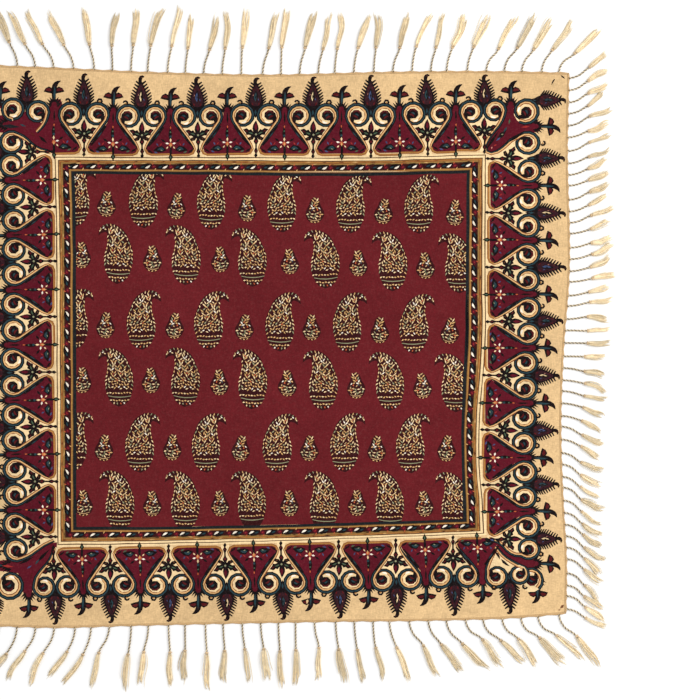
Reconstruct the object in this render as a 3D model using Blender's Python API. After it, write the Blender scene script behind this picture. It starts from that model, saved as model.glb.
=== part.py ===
"""A square printed cotton tablecloth with a knotted fringe, laid out on a flat surface.

One thin sheet with low soft ripples, and on each of its four sides a narrow edging, a thread's width
apart from the sheet, that carries a row of strands: each a twisted cord, a knot and a loose tuft.
Metres, +X to the cloth's right, +Y to its top side, +Z up. The origin is on the underside, at the
middle, and all that touches the surface is at Z = 0.
"""

import math
import random

import bmesh
import bpy
import numpy as np

MM = 0.001

# The cloth, to the outer edge of its edging
WIDTH = 595 * MM
HEIGHT = 552 * MM
SHEET_THICKNESS = 1.0 * MM
COLUMNS = 25
ROWS = 23

# The edging that the strands grow from
EDGING_WIDTH = 2.6 * MM
EDGING_HEIGHT = 1.6 * MM
PARTING = 0.3 * MM
MITRE_PARTING = 0.45 * MM

# How far each side bows outwards from the plain rectangle: (share of the side, bow).
# The top and bottom run from left to right, the left and right sides from top to bottom.
BOWS = {
    "top": [(0.00, 8.0 * MM), (0.15, 4.2 * MM), (0.30, 0.2 * MM), (0.50, -2.4 * MM),
            (0.70, 0.4 * MM), (0.88, 1.0 * MM), (1.00, -0.5 * MM)],
    "bottom": [(0.00, 2.5 * MM), (0.14, 5.0 * MM), (0.27, 3.0 * MM), (0.42, 1.0 * MM),
               (0.60, -1.0 * MM), (0.80, -2.5 * MM), (0.92, -5.0 * MM), (1.00, -9.0 * MM)],
    "left": [(0.00, 1.0 * MM), (0.25, -1.5 * MM), (0.50, 1.5 * MM), (0.75, -1.0 * MM), (1.00, 0.5 * MM)],
    "right": [(0.00, 3.0 * MM), (0.14, 1.5 * MM), (0.38, 3.0 * MM), (0.50, -2.0 * MM),
              (0.66, -5.0 * MM), (0.80, -2.5 * MM), (0.90, 0.5 * MM), (1.00, 0.0)],
}

# Soft ripples in the sheet: where the middle lies, the way it runs in degrees, and its size
RIPPLES = [
    {"x": 0.186, "y": 0.034, "turn": 176, "length": 0.190, "width": 0.070, "rise": 5.0 * MM},
    {"x": -0.116, "y": 0.046, "turn": 160, "length": 0.200, "width": 0.080, "rise": 3.6 * MM},
    {"x": 0.062, "y": -0.080, "turn": 82, "length": 0.240, "width": 0.080, "rise": 3.4 * MM},
    {"x": -0.160, "y": 0.212, "turn": 4, "length": 0.220, "width": 0.070, "rise": 4.2 * MM},
    {"x": 0.150, "y": 0.182, "turn": 118, "length": 0.150, "width": 0.070, "rise": 3.2 * MM},
    {"x": -0.186, "y": -0.128, "turn": 62, "length": 0.200, "width": 0.076, "rise": 3.6 * MM},
    {"x": 0.036, "y": -0.224, "turn": 12, "length": 0.220, "width": 0.064, "rise": 3.4 * MM},
    {"x": 0.222, "y": -0.196, "turn": 132, "length": 0.130, "width": 0.064, "rise": 4.4 * MM},
]

# The rows of strands: how many, how long, how wide a tuft spreads, how unevenly the strands lie in
# degrees, and how they lean in degrees from straight out, as (share of the side, lean). A lean is to
# the right on the top and bottom, and to the top on the sides.
FRINGES = {
    "top": {"strands": 32, "cord": 22 * MM, "tuft": 38 * MM, "spread": 6.2 * MM, "jitter": 8,
            "lean": [(0.00, -30), (0.16, -22), (0.26, 6), (0.50, 9), (0.78, 20), (0.90, 32), (1.00, 44)]},
    "bottom": {"strands": 32, "cord": 24 * MM, "tuft": 36 * MM, "spread": 6.2 * MM, "jitter": 8,
               "lean": [(0.00, -32), (0.20, -26), (0.32, -4), (0.55, 4), (0.66, 10), (0.76, 38), (1.00, 46)]},
    "left": {"strands": 45, "cord": 19 * MM, "tuft": 23 * MM, "spread": 5.0 * MM, "jitter": 5,
             "lean": [(0.00, 34), (0.25, 18), (0.50, 2), (0.75, -18), (1.00, -36)]},
    "right": {"strands": 45, "cord": 19 * MM, "tuft": 23 * MM, "spread": 5.0 * MM, "jitter": 5,
              "lean": [(0.00, 36), (0.12, 24), (0.35, 16), (0.55, -8), (0.70, -30), (0.88, -40), (1.00, -34)]},
}
ROOT_JITTER = 0.1
LENGTH_JITTER = 0.07
SEED = 4

# A strand from root to tip: the part that each section ends, the share of that part it takes, how far
# it has turned to that part's lean, its width and its height. The tuft's width is a share of its spread.
ROOT_WIDTH = 2.2 * MM
KNOT_LENGTH = 4.0 * MM
SECTIONS = [
    {"part": "cord", "share": 0.5, "turn": 0.50, "width": 2.0 * MM, "height": 2.0 * MM},
    {"part": "cord", "share": 0.5, "turn": 1.15, "width": 2.0 * MM, "height": 2.0 * MM},
    {"part": "knot", "share": 0.5, "turn": 1.00, "width": 4.0 * MM, "height": 3.4 * MM},
    {"part": "knot", "share": 0.5, "turn": 1.00, "width": 2.6 * MM, "height": 2.4 * MM},
    {"part": "tuft", "share": 0.5, "turn": 1.00, "width": 0.9, "height": 2.6 * MM},
    {"part": "tuft", "share": 0.5, "turn": 1.00, "width": 1.0, "height": 1.4 * MM},
]

DYED_COTTON = {"name": "dyed_cotton", "colour": (0.110, 0.014, 0.016, 1.0), "roughness": 0.85}
FRINGE_COTTON = {"name": "fringe_cotton", "colour": (0.680, 0.480, 0.270, 1.0), "roughness": 0.90}


def clear_scene():
    for old in list(bpy.data.objects):
        bpy.data.objects.remove(old, do_unlink=True)


def cotton(finish):
    material = bpy.data.materials.new(finish["name"])
    material.use_nodes = True
    shader = material.node_tree.nodes["Principled BSDF"]
    shader.inputs["Base Color"].default_value = finish["colour"]
    shader.inputs["Roughness"].default_value = finish["roughness"]
    shader.inputs["Metallic"].default_value = 0.0
    return material


def smooth_value(table, share):
    """The value at a share of a side, on a smooth curve through the table's rows."""
    shares, values = np.array(table).T
    slopes = np.gradient(values, shares)
    i = int(np.clip(np.searchsorted(shares, share) - 1, 0, len(shares) - 2))
    span = shares[i + 1] - shares[i]
    t = (share - shares[i]) / span
    start = (1 + 2 * t) * (1 - t) ** 2 * values[i] + t * (1 - t) ** 2 * span * slopes[i]
    end = t * t * (3 - 2 * t) * values[i + 1] + t * t * (t - 1) * span * slopes[i + 1]
    return float(start + end)


def laid(u, v, inset=0.0):
    """Where a point of the flat cloth lies: u from the left, v from the bottom, with the sides drawn in."""
    left = -WIDTH / 2 - smooth_value(BOWS["left"], 1 - v) + inset
    right = WIDTH / 2 + smooth_value(BOWS["right"], 1 - v) - inset
    bottom = -HEIGHT / 2 - smooth_value(BOWS["bottom"], u) + inset
    top = HEIGHT / 2 + smooth_value(BOWS["top"], u) - inset
    return left + u * (right - left), bottom + v * (top - bottom)


def lift(x, y):
    """How high the ripples raise the sheet over the surface."""
    height = 0.0
    for ripple in RIPPLES:
        turn = math.radians(ripple["turn"])
        dx, dy = x - ripple["x"], y - ripple["y"]
        run = (dx * math.cos(turn) + dy * math.sin(turn)) / (ripple["length"] / 2)
        side = (dy * math.cos(turn) - dx * math.sin(turn)) / (ripple["width"] / 2)
        if abs(run) < 1 and abs(side) < 1:
            height += ripple["rise"] * math.cos(run * math.pi / 2) ** 2 * math.cos(side * math.pi / 2) ** 2
    return height


def new_object(name, bm, material):
    mesh = bpy.data.meshes.new(name)
    bmesh.ops.recalc_face_normals(bm, faces=bm.faces)
    bm.to_mesh(mesh)
    bm.free()
    mesh.materials.append(material)
    made = bpy.data.objects.new(name, mesh)
    bpy.context.scene.collection.objects.link(made)
    return made


def make_cloth(material):
    """The sheet: a grid laid to the cloth's outline and over its ripples, given its thickness upwards."""
    bm = bmesh.new()
    bmesh.ops.create_grid(bm, x_segments=COLUMNS, y_segments=ROWS, size=0.5)
    for vertex in bm.verts:
        x, y = laid(vertex.co.x + 0.5, vertex.co.y + 0.5, inset=EDGING_WIDTH + PARTING)
        vertex.co = (x, y, lift(x, y))
    top = bmesh.ops.extrude_face_region(bm, geom=bm.faces[:])
    for vertex in (item for item in top["geom"] if isinstance(item, bmesh.types.BMVert)):
        vertex.co.z += SHEET_THICKNESS
    return new_object("cloth", bm, material)


def side_point(side, share, inset):
    """A point on a side of the cloth, drawn in from its outer edge."""
    u, v = {"top": (share, 1), "bottom": (share, 0), "left": (0, 1 - share), "right": (1, 1 - share)}[side]
    return laid(u, v, inset)


def strand_shares(side, rng):
    """Where the strands of a side are rooted, nearly evenly spaced."""
    count = FRINGES[side]["strands"]
    return [(k + 0.5 + rng.uniform(-ROOT_JITTER, ROOT_JITTER)) / count for k in range(count)]


def side_axes(side):
    """The way straight out from a side, and the way that a positive lean goes."""
    return {"top": ((0, 1), (1, 0)), "bottom": ((0, -1), (1, 0)),
            "left": ((-1, 0), (0, 1)), "right": ((1, 0), (0, 1))}[side]


def strand_line(side, share, rng):
    """The strand's middle line on the surface: a point, a heading, a width and a height per section."""
    fringe = FRINGES[side]
    lean = smooth_value(fringe["lean"], share)
    cord_lean = lean + rng.uniform(-fringe["jitter"], fringe["jitter"])
    tuft_lean = lean + rng.uniform(-fringe["jitter"], fringe["jitter"])
    stretch = 1 + rng.uniform(-LENGTH_JITTER, LENGTH_JITTER)
    leans = {"cord": cord_lean, "knot": (cord_lean + tuft_lean) / 2, "tuft": tuft_lean}
    lengths = {"cord": fringe["cord"] * stretch, "knot": KNOT_LENGTH, "tuft": fringe["tuft"] * stretch}
    outward, sideways = side_axes(side)
    x, y = side_point(side, share, 0.0)
    line = []
    for section in SECTIONS:
        part = section["part"]
        heading = math.radians(leans[part] * section["turn"])
        step = lengths[part] * section["share"]
        hx = outward[0] * math.cos(heading) + sideways[0] * math.sin(heading)
        hy = outward[1] * math.cos(heading) + sideways[1] * math.sin(heading)
        x, y = x + hx * step, y + hy * step
        width = section["width"] * (fringe["spread"] if part == "tuft" else 1)
        line.append(((x, y), (hx, hy), width, section["height"]))
    return line


def edging_stations(side, shares):
    """The shares at which the edging is cut across: its ends, and both sides of each strand's root."""
    length = WIDTH if side in ("top", "bottom") else HEIGHT
    end = MITRE_PARTING / length if side in ("top", "bottom") else 0.0
    half = ROOT_WIDTH / 2 / length
    return [end] + [share + off for share in shares for off in (-half, half)] + [1 - end]


def make_fringe(side, material, rng):
    """A side's edging, with its strands drawn out of the edging's outer face one section at a time."""
    shares = strand_shares(side, rng)
    bm = bmesh.new()
    rings = []
    for share in edging_stations(side, shares):
        outer, inner = side_point(side, share, 0.0), side_point(side, share, EDGING_WIDTH)
        corners = [(*outer, 0.0), (*outer, EDGING_HEIGHT), (*inner, EDGING_HEIGHT), (*inner, 0.0)]
        rings.append([bm.verts.new(corner) for corner in corners])
    outer_faces = []
    for ring, following in zip(rings, rings[1:]):
        for i in range(4):
            j = (i + 1) % 4
            face = bm.faces.new((ring[i], following[i], following[j], ring[j]))
            if i == 0:
                outer_faces.append(face)
    bm.faces.new(rings[0])
    bm.faces.new(reversed(rings[-1]))
    for share, root in zip(shares, outer_faces[1::2]):
        grow_strand(bm, root, strand_line(side, share, rng))
    return new_object("fringe_" + side, bm, material)


def grow_strand(bm, root, line):
    """Extrudes the root face along the strand, level on the surface all the way."""
    along = np.array(root.verts[1].co - root.verts[0].co)[:2]
    for (x, y), (hx, hy), width, height in line:
        root = bmesh.ops.extrude_discrete_faces(bm, faces=[root])["faces"][0]
        across = np.array((-hy, hx)) * (1 if np.dot((-hy, hx), along) > 0 else -1) * width / 2
        places = [(-1, 0.0), (1, 0.0), (1, height), (-1, height)]
        for vertex, (hand, z) in zip(root.verts, places):
            vertex.co = (x + hand * across[0], y + hand * across[1], z)


def main():
    clear_scene()
    make_cloth(cotton(DYED_COTTON))
    fringe_cotton = cotton(FRINGE_COTTON)
    rng = random.Random(SEED)
    for side in FRINGES:
        make_fringe(side, fringe_cotton, rng)


main()
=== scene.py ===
"""A kalamkari tablecloth laid out flat: block-printed cotton with a knotted fringe on all four sides.

The cloth is one thin sheet cut along every edge of its print, so that each dye is a real shape on it.
Each fringe is a rolled edging with twisted cords, knots and loose threads. Lengths in the print are in
millimetres on the laid cloth, +X to its right and +Y to its top side; the pieces are made in metres.
"""

import math
import random

import bpy
import numpy as np
from mathutils.geometry import delaunay_2d_cdt
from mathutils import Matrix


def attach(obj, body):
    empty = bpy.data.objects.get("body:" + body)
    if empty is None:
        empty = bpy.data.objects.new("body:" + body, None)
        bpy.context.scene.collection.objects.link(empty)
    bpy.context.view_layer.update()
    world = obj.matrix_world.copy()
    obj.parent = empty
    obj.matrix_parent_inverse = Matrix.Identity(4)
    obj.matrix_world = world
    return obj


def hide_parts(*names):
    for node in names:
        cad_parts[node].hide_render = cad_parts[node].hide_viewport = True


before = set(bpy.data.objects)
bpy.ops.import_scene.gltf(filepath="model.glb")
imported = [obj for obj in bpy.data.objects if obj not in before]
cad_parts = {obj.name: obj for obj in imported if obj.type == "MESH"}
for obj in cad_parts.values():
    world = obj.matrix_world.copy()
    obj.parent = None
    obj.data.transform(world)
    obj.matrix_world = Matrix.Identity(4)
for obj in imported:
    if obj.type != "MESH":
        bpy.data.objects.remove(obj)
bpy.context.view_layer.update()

MM = 0.001

# The cloth and its edging
WIDTH = 595 * MM
HEIGHT = 552 * MM
SHEET_THICKNESS = 0.7 * MM
EDGING_WIDTH = 2.6 * MM
EDGING_HEIGHT = 1.5 * MM
EDGING_GAP = 0.08 * MM
MITRE_PARTING = 0.45 * MM

# How far each side bows outwards from the plain rectangle: (share of the side, bow).
# The top and bottom run from left to right, the left and right sides from top to bottom.
BOWS = {
    "top": [(0.00, 8.0 * MM), (0.15, 4.2 * MM), (0.30, 0.2 * MM), (0.50, -2.4 * MM),
            (0.70, 0.4 * MM), (0.88, 1.0 * MM), (1.00, -0.5 * MM)],
    "bottom": [(0.00, 2.5 * MM), (0.14, 5.0 * MM), (0.27, 3.0 * MM), (0.42, 1.0 * MM),
               (0.60, -1.0 * MM), (0.80, -2.5 * MM), (0.92, -5.0 * MM), (1.00, -9.0 * MM)],
    "left": [(0.00, 1.0 * MM), (0.25, -1.5 * MM), (0.50, 1.5 * MM), (0.75, -1.0 * MM), (1.00, 0.5 * MM)],
    "right": [(0.00, 3.0 * MM), (0.14, 1.5 * MM), (0.38, 3.0 * MM), (0.50, -2.0 * MM),
              (0.66, -5.0 * MM), (0.80, -2.5 * MM), (0.90, 0.5 * MM), (1.00, 0.0)],
}

# Soft ripples in the sheet: where the middle lies, the way it runs in degrees, its size and its rise
RIPPLES = [
    (0.186, 0.034, 176, 0.190, 0.070, 5.0 * MM), (-0.116, 0.046, 160, 0.200, 0.080, 3.6 * MM),
    (0.062, -0.080, 82, 0.240, 0.080, 3.4 * MM), (-0.160, 0.212, 4, 0.220, 0.070, 4.2 * MM),
    (0.150, 0.182, 118, 0.150, 0.070, 3.2 * MM), (-0.186, -0.128, 62, 0.200, 0.076, 3.6 * MM),
    (0.036, -0.224, 12, 0.220, 0.064, 3.4 * MM), (0.222, -0.196, 132, 0.130, 0.064, 4.4 * MM),
]

# The rows of strands, as in the part: how many, how long, how wide a tuft spreads, how unevenly the
# strands lie in degrees, and how they lean in degrees from straight out
FRINGES = {
    "top": {"strands": 32, "cord": 22 * MM, "tuft": 38 * MM, "spread": 6.2 * MM, "jitter": 8,
            "lean": [(0.00, -30), (0.16, -22), (0.26, 6), (0.50, 9), (0.78, 20), (0.90, 32), (1.00, 44)]},
    "bottom": {"strands": 32, "cord": 24 * MM, "tuft": 36 * MM, "spread": 6.2 * MM, "jitter": 8,
               "lean": [(0.00, -32), (0.20, -26), (0.32, -4), (0.55, 4), (0.66, 10), (0.76, 38),
                        (1.00, 46)]},
    "left": {"strands": 45, "cord": 19 * MM, "tuft": 23 * MM, "spread": 5.0 * MM, "jitter": 5,
             "lean": [(0.00, 34), (0.25, 18), (0.50, 2), (0.75, -18), (1.00, -36)]},
    "right": {"strands": 45, "cord": 19 * MM, "tuft": 23 * MM, "spread": 5.0 * MM, "jitter": 5,
              "lean": [(0.00, 36), (0.12, 24), (0.35, 16), (0.55, -8), (0.70, -30), (0.88, -40),
                       (1.00, -34)]},
}
ROOT_JITTER = 0.1
LENGTH_JITTER = 0.07
KNOT_LENGTH = 4.0 * MM
STRAND_SEED = 4
# A strand from root to tip: the part that each section ends, and how far it has turned to that part's lean
TURNS = [("cord", 0.50), ("cord", 1.15), ("knot", 1.0), ("knot", 1.0), ("tuft", 1.0), ("tuft", 1.0)]

# The dyes, as red, green and blue out of 255
DYES = {
    "ground": (218, 183, 134), "cream": (236, 206, 157), "white": (244, 232, 212), "sand": (196, 160, 114),
    "red": (100, 28, 33), "deep_red": (88, 19, 32), "dull_red": (84, 24, 26), "bright_red": (150, 44, 40),
    "black": (22, 16, 17), "blue_black": (26, 32, 34), "lace_black": (52, 18, 20), "plum": (50, 25, 31),
    "brown": (104, 58, 32), "ochre": (168, 116, 60), "pale_ochre": (206, 164, 104), "orange": (190, 92, 56),
    "peach": (216, 170, 114), "rust": (128, 68, 34), "olive": (146, 112, 60), "umber": (74, 44, 28),
    "teal": (38, 62, 68), "blue": (62, 76, 110), "green": (70, 92, 70), "sage": (146, 146, 112),
    "rose": (206, 138, 120), "stain": (112, 72, 48),
}


def clip(value, low, high):
    return max(low, min(high, value))


def smooth_at(stations, values, slopes, place):
    """The value at a place on the smooth curve through values at rising stations, with those slopes."""
    i = int(np.clip(np.searchsorted(stations, place) - 1, 0, len(stations) - 2))
    span = stations[i + 1] - stations[i]
    t = (place - stations[i]) / span
    start = (1 + 2 * t) * (1 - t) ** 2 * values[i] + t * (1 - t) ** 2 * span * slopes[i]
    end = t * t * (3 - 2 * t) * values[i + 1] + t * t * (t - 1) * span * slopes[i + 1]
    return start + end


def smooth_value(table, share):
    """The value at a share of a side, on a smooth curve through the table's rows."""
    shares, values = np.array(table).T
    return float(smooth_at(shares, values, np.gradient(values, shares), share))


def cloth_sides(u, v, inset):
    """The laid cloth's left, right, bottom and top edge, drawn in, at u from the left and v from below."""
    return (-WIDTH / 2 - smooth_value(BOWS["left"], 1 - v) + inset,
            WIDTH / 2 + smooth_value(BOWS["right"], 1 - v) - inset,
            -HEIGHT / 2 - smooth_value(BOWS["bottom"], u) + inset,
            HEIGHT / 2 + smooth_value(BOWS["top"], u) - inset)


def laid(u, v, inset=0.0):
    """Where a point of the flat cloth lies."""
    left, right, bottom, top = cloth_sides(u, v, inset)
    return left + u * (right - left), bottom + v * (top - bottom)


def side_point(side, share, inset):
    """A point on a side of the cloth, drawn in from its outer edge."""
    u, v = {"top": (share, 1), "bottom": (share, 0), "left": (0, 1 - share), "right": (1, 1 - share)}[side]
    return laid(u, v, inset)


# Fine creases: where the middle lies, the way it runs in degrees, its length, width and rise
CREASES = [
    (0.262, 0.120, 96, 0.120, 0.016, 0.7 * MM), (0.270, -0.060, 84, 0.150, 0.018, 0.8 * MM),
    (0.236, 0.010, 152, 0.120, 0.016, 0.9 * MM), (0.228, 0.052, 24, 0.110, 0.014, -0.6 * MM),
    (-0.080, 0.250, 172, 0.180, 0.018, 0.7 * MM), (-0.258, 0.060, 84, 0.160, 0.016, -0.6 * MM),
    (-0.020, -0.252, 6, 0.200, 0.016, 0.6 * MM), (0.110, 0.050, 38, 0.150, 0.020, 0.8 * MM),
    (-0.120, -0.020, 118, 0.180, 0.022, -0.7 * MM), (0.020, 0.120, 74, 0.160, 0.020, 0.6 * MM),
    (-0.060, -0.110, 28, 0.150, 0.018, 0.7 * MM), (0.160, -0.150, 104, 0.150, 0.018, -0.6 * MM),
]


def heights(points):
    """How high the sheet's underside is over the surface at each point in metres, and its slopes."""
    x, y = np.asarray(points, float).T
    height, slope_x, slope_y = np.zeros(len(x)), np.zeros(len(x)), np.zeros(len(x))
    for middle_x, middle_y, degrees, length, width, rise in RIPPLES + CREASES:
        turn = math.radians(degrees)
        cosine, sine = math.cos(turn), math.sin(turn)
        run = ((x - middle_x) * cosine + (y - middle_y) * sine) / (length / 2)
        side = ((y - middle_y) * cosine - (x - middle_x) * sine) / (width / 2)
        inside = (np.abs(run) < 1) & (np.abs(side) < 1)
        along = np.cos(run * math.pi / 2) ** 2 * inside
        across = np.cos(side * math.pi / 2) ** 2 * inside
        height += rise * along * across
        run_slope = -rise * math.pi / 2 * np.sin(run * math.pi) * across * inside / (length / 2)
        side_slope = -rise * math.pi / 2 * np.sin(side * math.pi) * along * inside / (width / 2)
        slope_x += run_slope * cosine - side_slope * sine
        slope_y += run_slope * sine + side_slope * cosine
    low = height < 0
    return np.where(low, 0.0, height), np.where(low, 0.0, slope_x), np.where(low, 0.0, slope_y)


# Lines and outlines

def arc(middle, radius, start, end, count):
    """Points on an arc, from one angle in degrees to another."""
    angles = np.radians(np.linspace(start, end, count))
    return np.column_stack([middle[0] + radius * np.cos(angles), middle[1] + radius * np.sin(angles)])


def bezier(controls, count):
    """Points on a curve with four control points."""
    t = np.linspace(0, 1, count)[:, None]
    a, b, c, d = (np.array(point, float) for point in controls)
    return (1 - t) ** 3 * a + 3 * t * (1 - t) ** 2 * b + 3 * t * t * (1 - t) * c + t ** 3 * d


def left_normals(path):
    """The way to the left of a line at each of its points."""
    runs = np.gradient(path, axis=0)
    runs /= np.linalg.norm(runs, axis=1)[:, None]
    return np.column_stack([-runs[:, 1], runs[:, 0]])


def ribbon(path, near, far):
    """The outline of a band along a line, between two distances off its left side."""
    path = np.asarray(path, float)
    near, far = np.broadcast_to(near, len(path)), np.broadcast_to(far, len(path))
    wide = np.flatnonzero(far - near > 0.08)
    first, last = wide[0], wide[-1] + 1
    normals = left_normals(path)
    inner = (path + normals * near[:, None])[first:last]
    outer = (path + normals * far[:, None])[first:last]
    return np.vstack([inner, outer[::-1]])


def stroke(points, widths, count=5):
    """The outline of a brush stroke through three or four points, with its width along it."""
    points = np.asarray(points, float)
    if len(points) == 3:
        t = np.linspace(0, 1, count)[:, None]
        control = 2 * points[1] - (points[0] + points[2]) / 2
        path = (1 - t) ** 2 * points[0] + 2 * t * (1 - t) * control + t * t * points[2]
    elif len(points) == 4:
        path = bezier(points, count)
    else:
        path = points
    half = np.interp(np.linspace(0, 1, len(path)), np.linspace(0, 1, len(widths)), widths) / 2
    normals = left_normals(path)
    keep = half > 0.04
    left = path + normals * half[:, None]
    right = (path - normals * half[:, None])[keep][::-1]
    return np.vstack([left, right])


def leaf(base, tip, width, bend=0.0):
    """The outline of a leaf from base to tip, bent to the left by so many millimetres."""
    base, tip = np.array(base, float), np.array(tip, float)
    run = tip - base
    left = np.array([-run[1], run[0]]) / np.hypot(*run)
    return stroke([base, (base + tip) / 2 + left * bend, tip], [0, width, width * 0.8, 0], 4)


def kite(middle, degrees, length, width):
    """The outline of a four-cornered dab."""
    turn = math.radians(degrees)
    along = np.array([math.cos(turn), math.sin(turn)]) * length / 2
    across = np.array([-math.sin(turn), math.cos(turn)]) * width / 2
    middle = np.array(middle, float)
    waist = middle + along * 0.1
    return np.array([middle - along, waist - across, middle + along, waist + across])


def disc(middle, radius, corners=7, flat=1.0):
    angles = np.arange(corners) * 2 * math.pi / corners + 0.3
    return np.column_stack([middle[0] + radius * np.cos(angles),
                            middle[1] + radius * flat * np.sin(angles)])


def mirrored(outline):
    return np.asarray(outline, float) * (-1, 1)


def both_sides(half):
    """A whole outline from its right half."""
    half = np.array(half, float)
    return np.vstack([half, mirrored(half[half[:, 0] > 0])[::-1]])


def pressed(x, y, turn=0.0, wide=1.0, tall=1.0):
    """Lands a hand block's points on the cloth: its middle, turn in degrees, and size along and across."""
    cosine, sine = math.cos(math.radians(turn)), math.sin(math.radians(turn))

    def land(points):
        along, across = (np.asarray(points, float) * (wide, tall)).T
        return np.column_stack([x + along * cosine - across * sine, y + along * sine + across * cosine])
    return land


def lifted(block, lift):
    """A block pressed so many of its own millimetres further out."""
    def land(points):
        return block(np.asarray(points, float) + (0, lift))
    return land


def on_cloth(points):
    return np.asarray(points, float)


def unsteady(points):
    """The small wander of hand-cut blocks, and of cloth that gives under them."""
    x, y = points.T
    shift_x = 0.40 * np.sin(x / 37 + y / 53 + 1.1) + 0.16 * np.sin(x / 7.3 - y / 9.1 + 0.4)
    shift_y = 0.40 * np.sin(x / 49 - y / 31 + 2.3) + 0.16 * np.sin(x / 8.7 + y / 6.9 + 1.9)
    return points + np.column_stack([shift_x, shift_y])


CLOTH_MARGIN = 0.6
# How near the cloth's plain rectangle a point has to be, across and along, before it is held inside
EDGE_ZONE = (6, 10)
DYE_SEED = 11
DYE_SPREAD = 0.08


def held_inside(points):
    """Draws in what would run over the cloth's edge."""
    held = points.copy()
    inset = EDGING_WIDTH / MM + EDGING_GAP / MM + CLOTH_MARGIN
    half_wide, half_tall = WIDTH / MM / 2 - inset, HEIGHT / MM / 2 - inset
    for i, (x, y) in enumerate(points):
        if abs(x) > half_wide - EDGE_ZONE[0] or abs(y) > half_tall - EDGE_ZONE[1]:
            u = clip(x / (2 * half_wide) + 0.5, 0, 1)
            v = clip(y / (2 * half_tall) + 0.5, 0, 1)
            left, right, bottom, top = np.array(cloth_sides(u, v, inset * MM)) / MM
            held[i] = clip(x, left, right), clip(y, bottom, top)
    return held


class Print:
    """Shapes of dye in the order in which they are printed."""

    def __init__(self):
        self.dyes, self.outlines, self.soaks = [], [], []
        self.rng = random.Random(DYE_SEED)

    def stamp(self, dye, block, outline, soaks=False):
        """Prints an outline in a dye; soaks says that it shows through on the back."""
        self.dyes.append((dye, 1 + self.rng.uniform(-DYE_SPREAD, DYE_SPREAD)))
        self.outlines.append(held_inside(unsteady(block(outline))))
        self.soaks.append(soaks)

    def press(self, block, shapes, sides=(1,)):
        """Prints a list of (dye, outline) on each of some sides: 1 as it is, -1 mirrored."""
        for side in sides:
            for dye, outline in shapes:
                self.stamp(dye, block, np.asarray(outline, float) * (side, 1))


# The border's hearts

HALF_PITCH = 28.5
RING = (13.3, 40.8)
RING_RADIUS = 12.9
RING_START, RING_END = -32, 330
STATION_TURN = 90.5
# How a ring's radius shrinks as it winds in, by the angle in degrees
RING_SHARES = ((RING_START, 180, 270, RING_END), (1.0, 1.0, 0.91, 0.76))
# Stations along a heart's line: 0 the bell's base, 1 its corner, 2 the rise, 3 to 7 round the ring
BASE_END, RISE_END = 1.95, 2.95
# The station where a ring meets the other one, and where the cream ground starts beside the heart's foot
RINGS_MEET = 5.34
HEART_FOOT = (4.0, 0.6)
# The width of each band inside the line, as (station, width)
BANDS = {
    "line": ((0, 0.8), (1.6, 0.8), (2.3, 1.0), (7, 1.2)),
    "teal": ((0, 0), (1.9, 0), (2.4, 0.5), (3.0, 0.8), (3.8, 1.3), (4.4, 1.5), (5.3, 1.4), (6.3, 0.9),
             (7, 0.4)),
    "groove": ((0, 0), (1.7, 0), (2.3, 0.5), (3.0, 1.0), (7, 1.3)),
    "peach": ((0, 0.7), (1.6, 0.8), (2.4, 1.2), (5.0, 1.5), (5.8, 1.3), (6.5, 0.8), (7, 0.3)),
    "rim": ((0, 0.6), (1.8, 0.7), (3, 1.0), (6, 1.0), (7, 0.5)),
}


def ring_line(middle, radius, first, last):
    """The outer line of a ring that winds in on itself, and its stations."""
    angles = np.linspace(first, last, max(8, int((last - first) / 24)))
    radii = (radius * np.interp(angles, *RING_SHARES))[:, None]
    turns = np.radians(angles)
    stations = 3 + (angles - RING_START) / STATION_TURN
    return np.array(middle) + radii * np.column_stack([np.cos(turns), np.sin(turns)]), stations


def heart_line(rise=None, ring=RING, radius=RING_RADIUS, first=RING_START):
    """Half of a heart's outer line and its stations: along the bell's base, up and round the ring.

    A half beside a corner of the cloth has a rise of its own and no base.
    """
    round_ring, ring_stations = ring_line(ring, radius, first, RING_END)
    if rise is None:
        base = [(HALF_PITCH, 3.0), (19.0, 3.0)]
        corner = arc((9.2, 7.5), 4.5, 270, 180, 3)
        slope = bezier([(4.7, 7.5), (4.9, 11.0), (17.7, 23.7), (23.5, 33.0)], 7)[1:-1]
        stations = np.concatenate([[0, 0.6], np.linspace(1, 1.9, 3), np.linspace(2, 2.9, 5), ring_stations])
        return np.vstack([base, corner, slope, round_ring]), stations
    slope = along_line(rise + [tuple(round_ring[0])], np.linspace(0, 1, 8))[:-1]
    stations = np.concatenate([np.linspace(2.25, 2.9, 7), np.maximum(ring_stations, RISE_END)])
    return np.vstack([slope, round_ring]), stations


def print_bands(cloth_print, block, line, stations, side=1):
    """The line, the teal, the peach and the rust rim that run side by side inside a heart's line."""
    widths = [np.interp(stations, *zip(*table)) for table in BANDS.values()]
    line_end, teal_end, groove_end, peach_end, rim_end = np.cumsum(widths, axis=0)
    bands = [
        ("black", ribbon(line, 0.0, groove_end)), ("teal", ribbon(line, line_end, teal_end)),
        ("peach", ribbon(line, groove_end, peach_end)), ("rust", ribbon(line, peach_end, rim_end)),
    ]
    base = stations < BASE_END
    if base.sum() > 1:
        bands.append(("ochre", ribbon(line[base], 0.0, peach_end[base])))
    cloth_print.press(block, bands, (side,))


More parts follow.
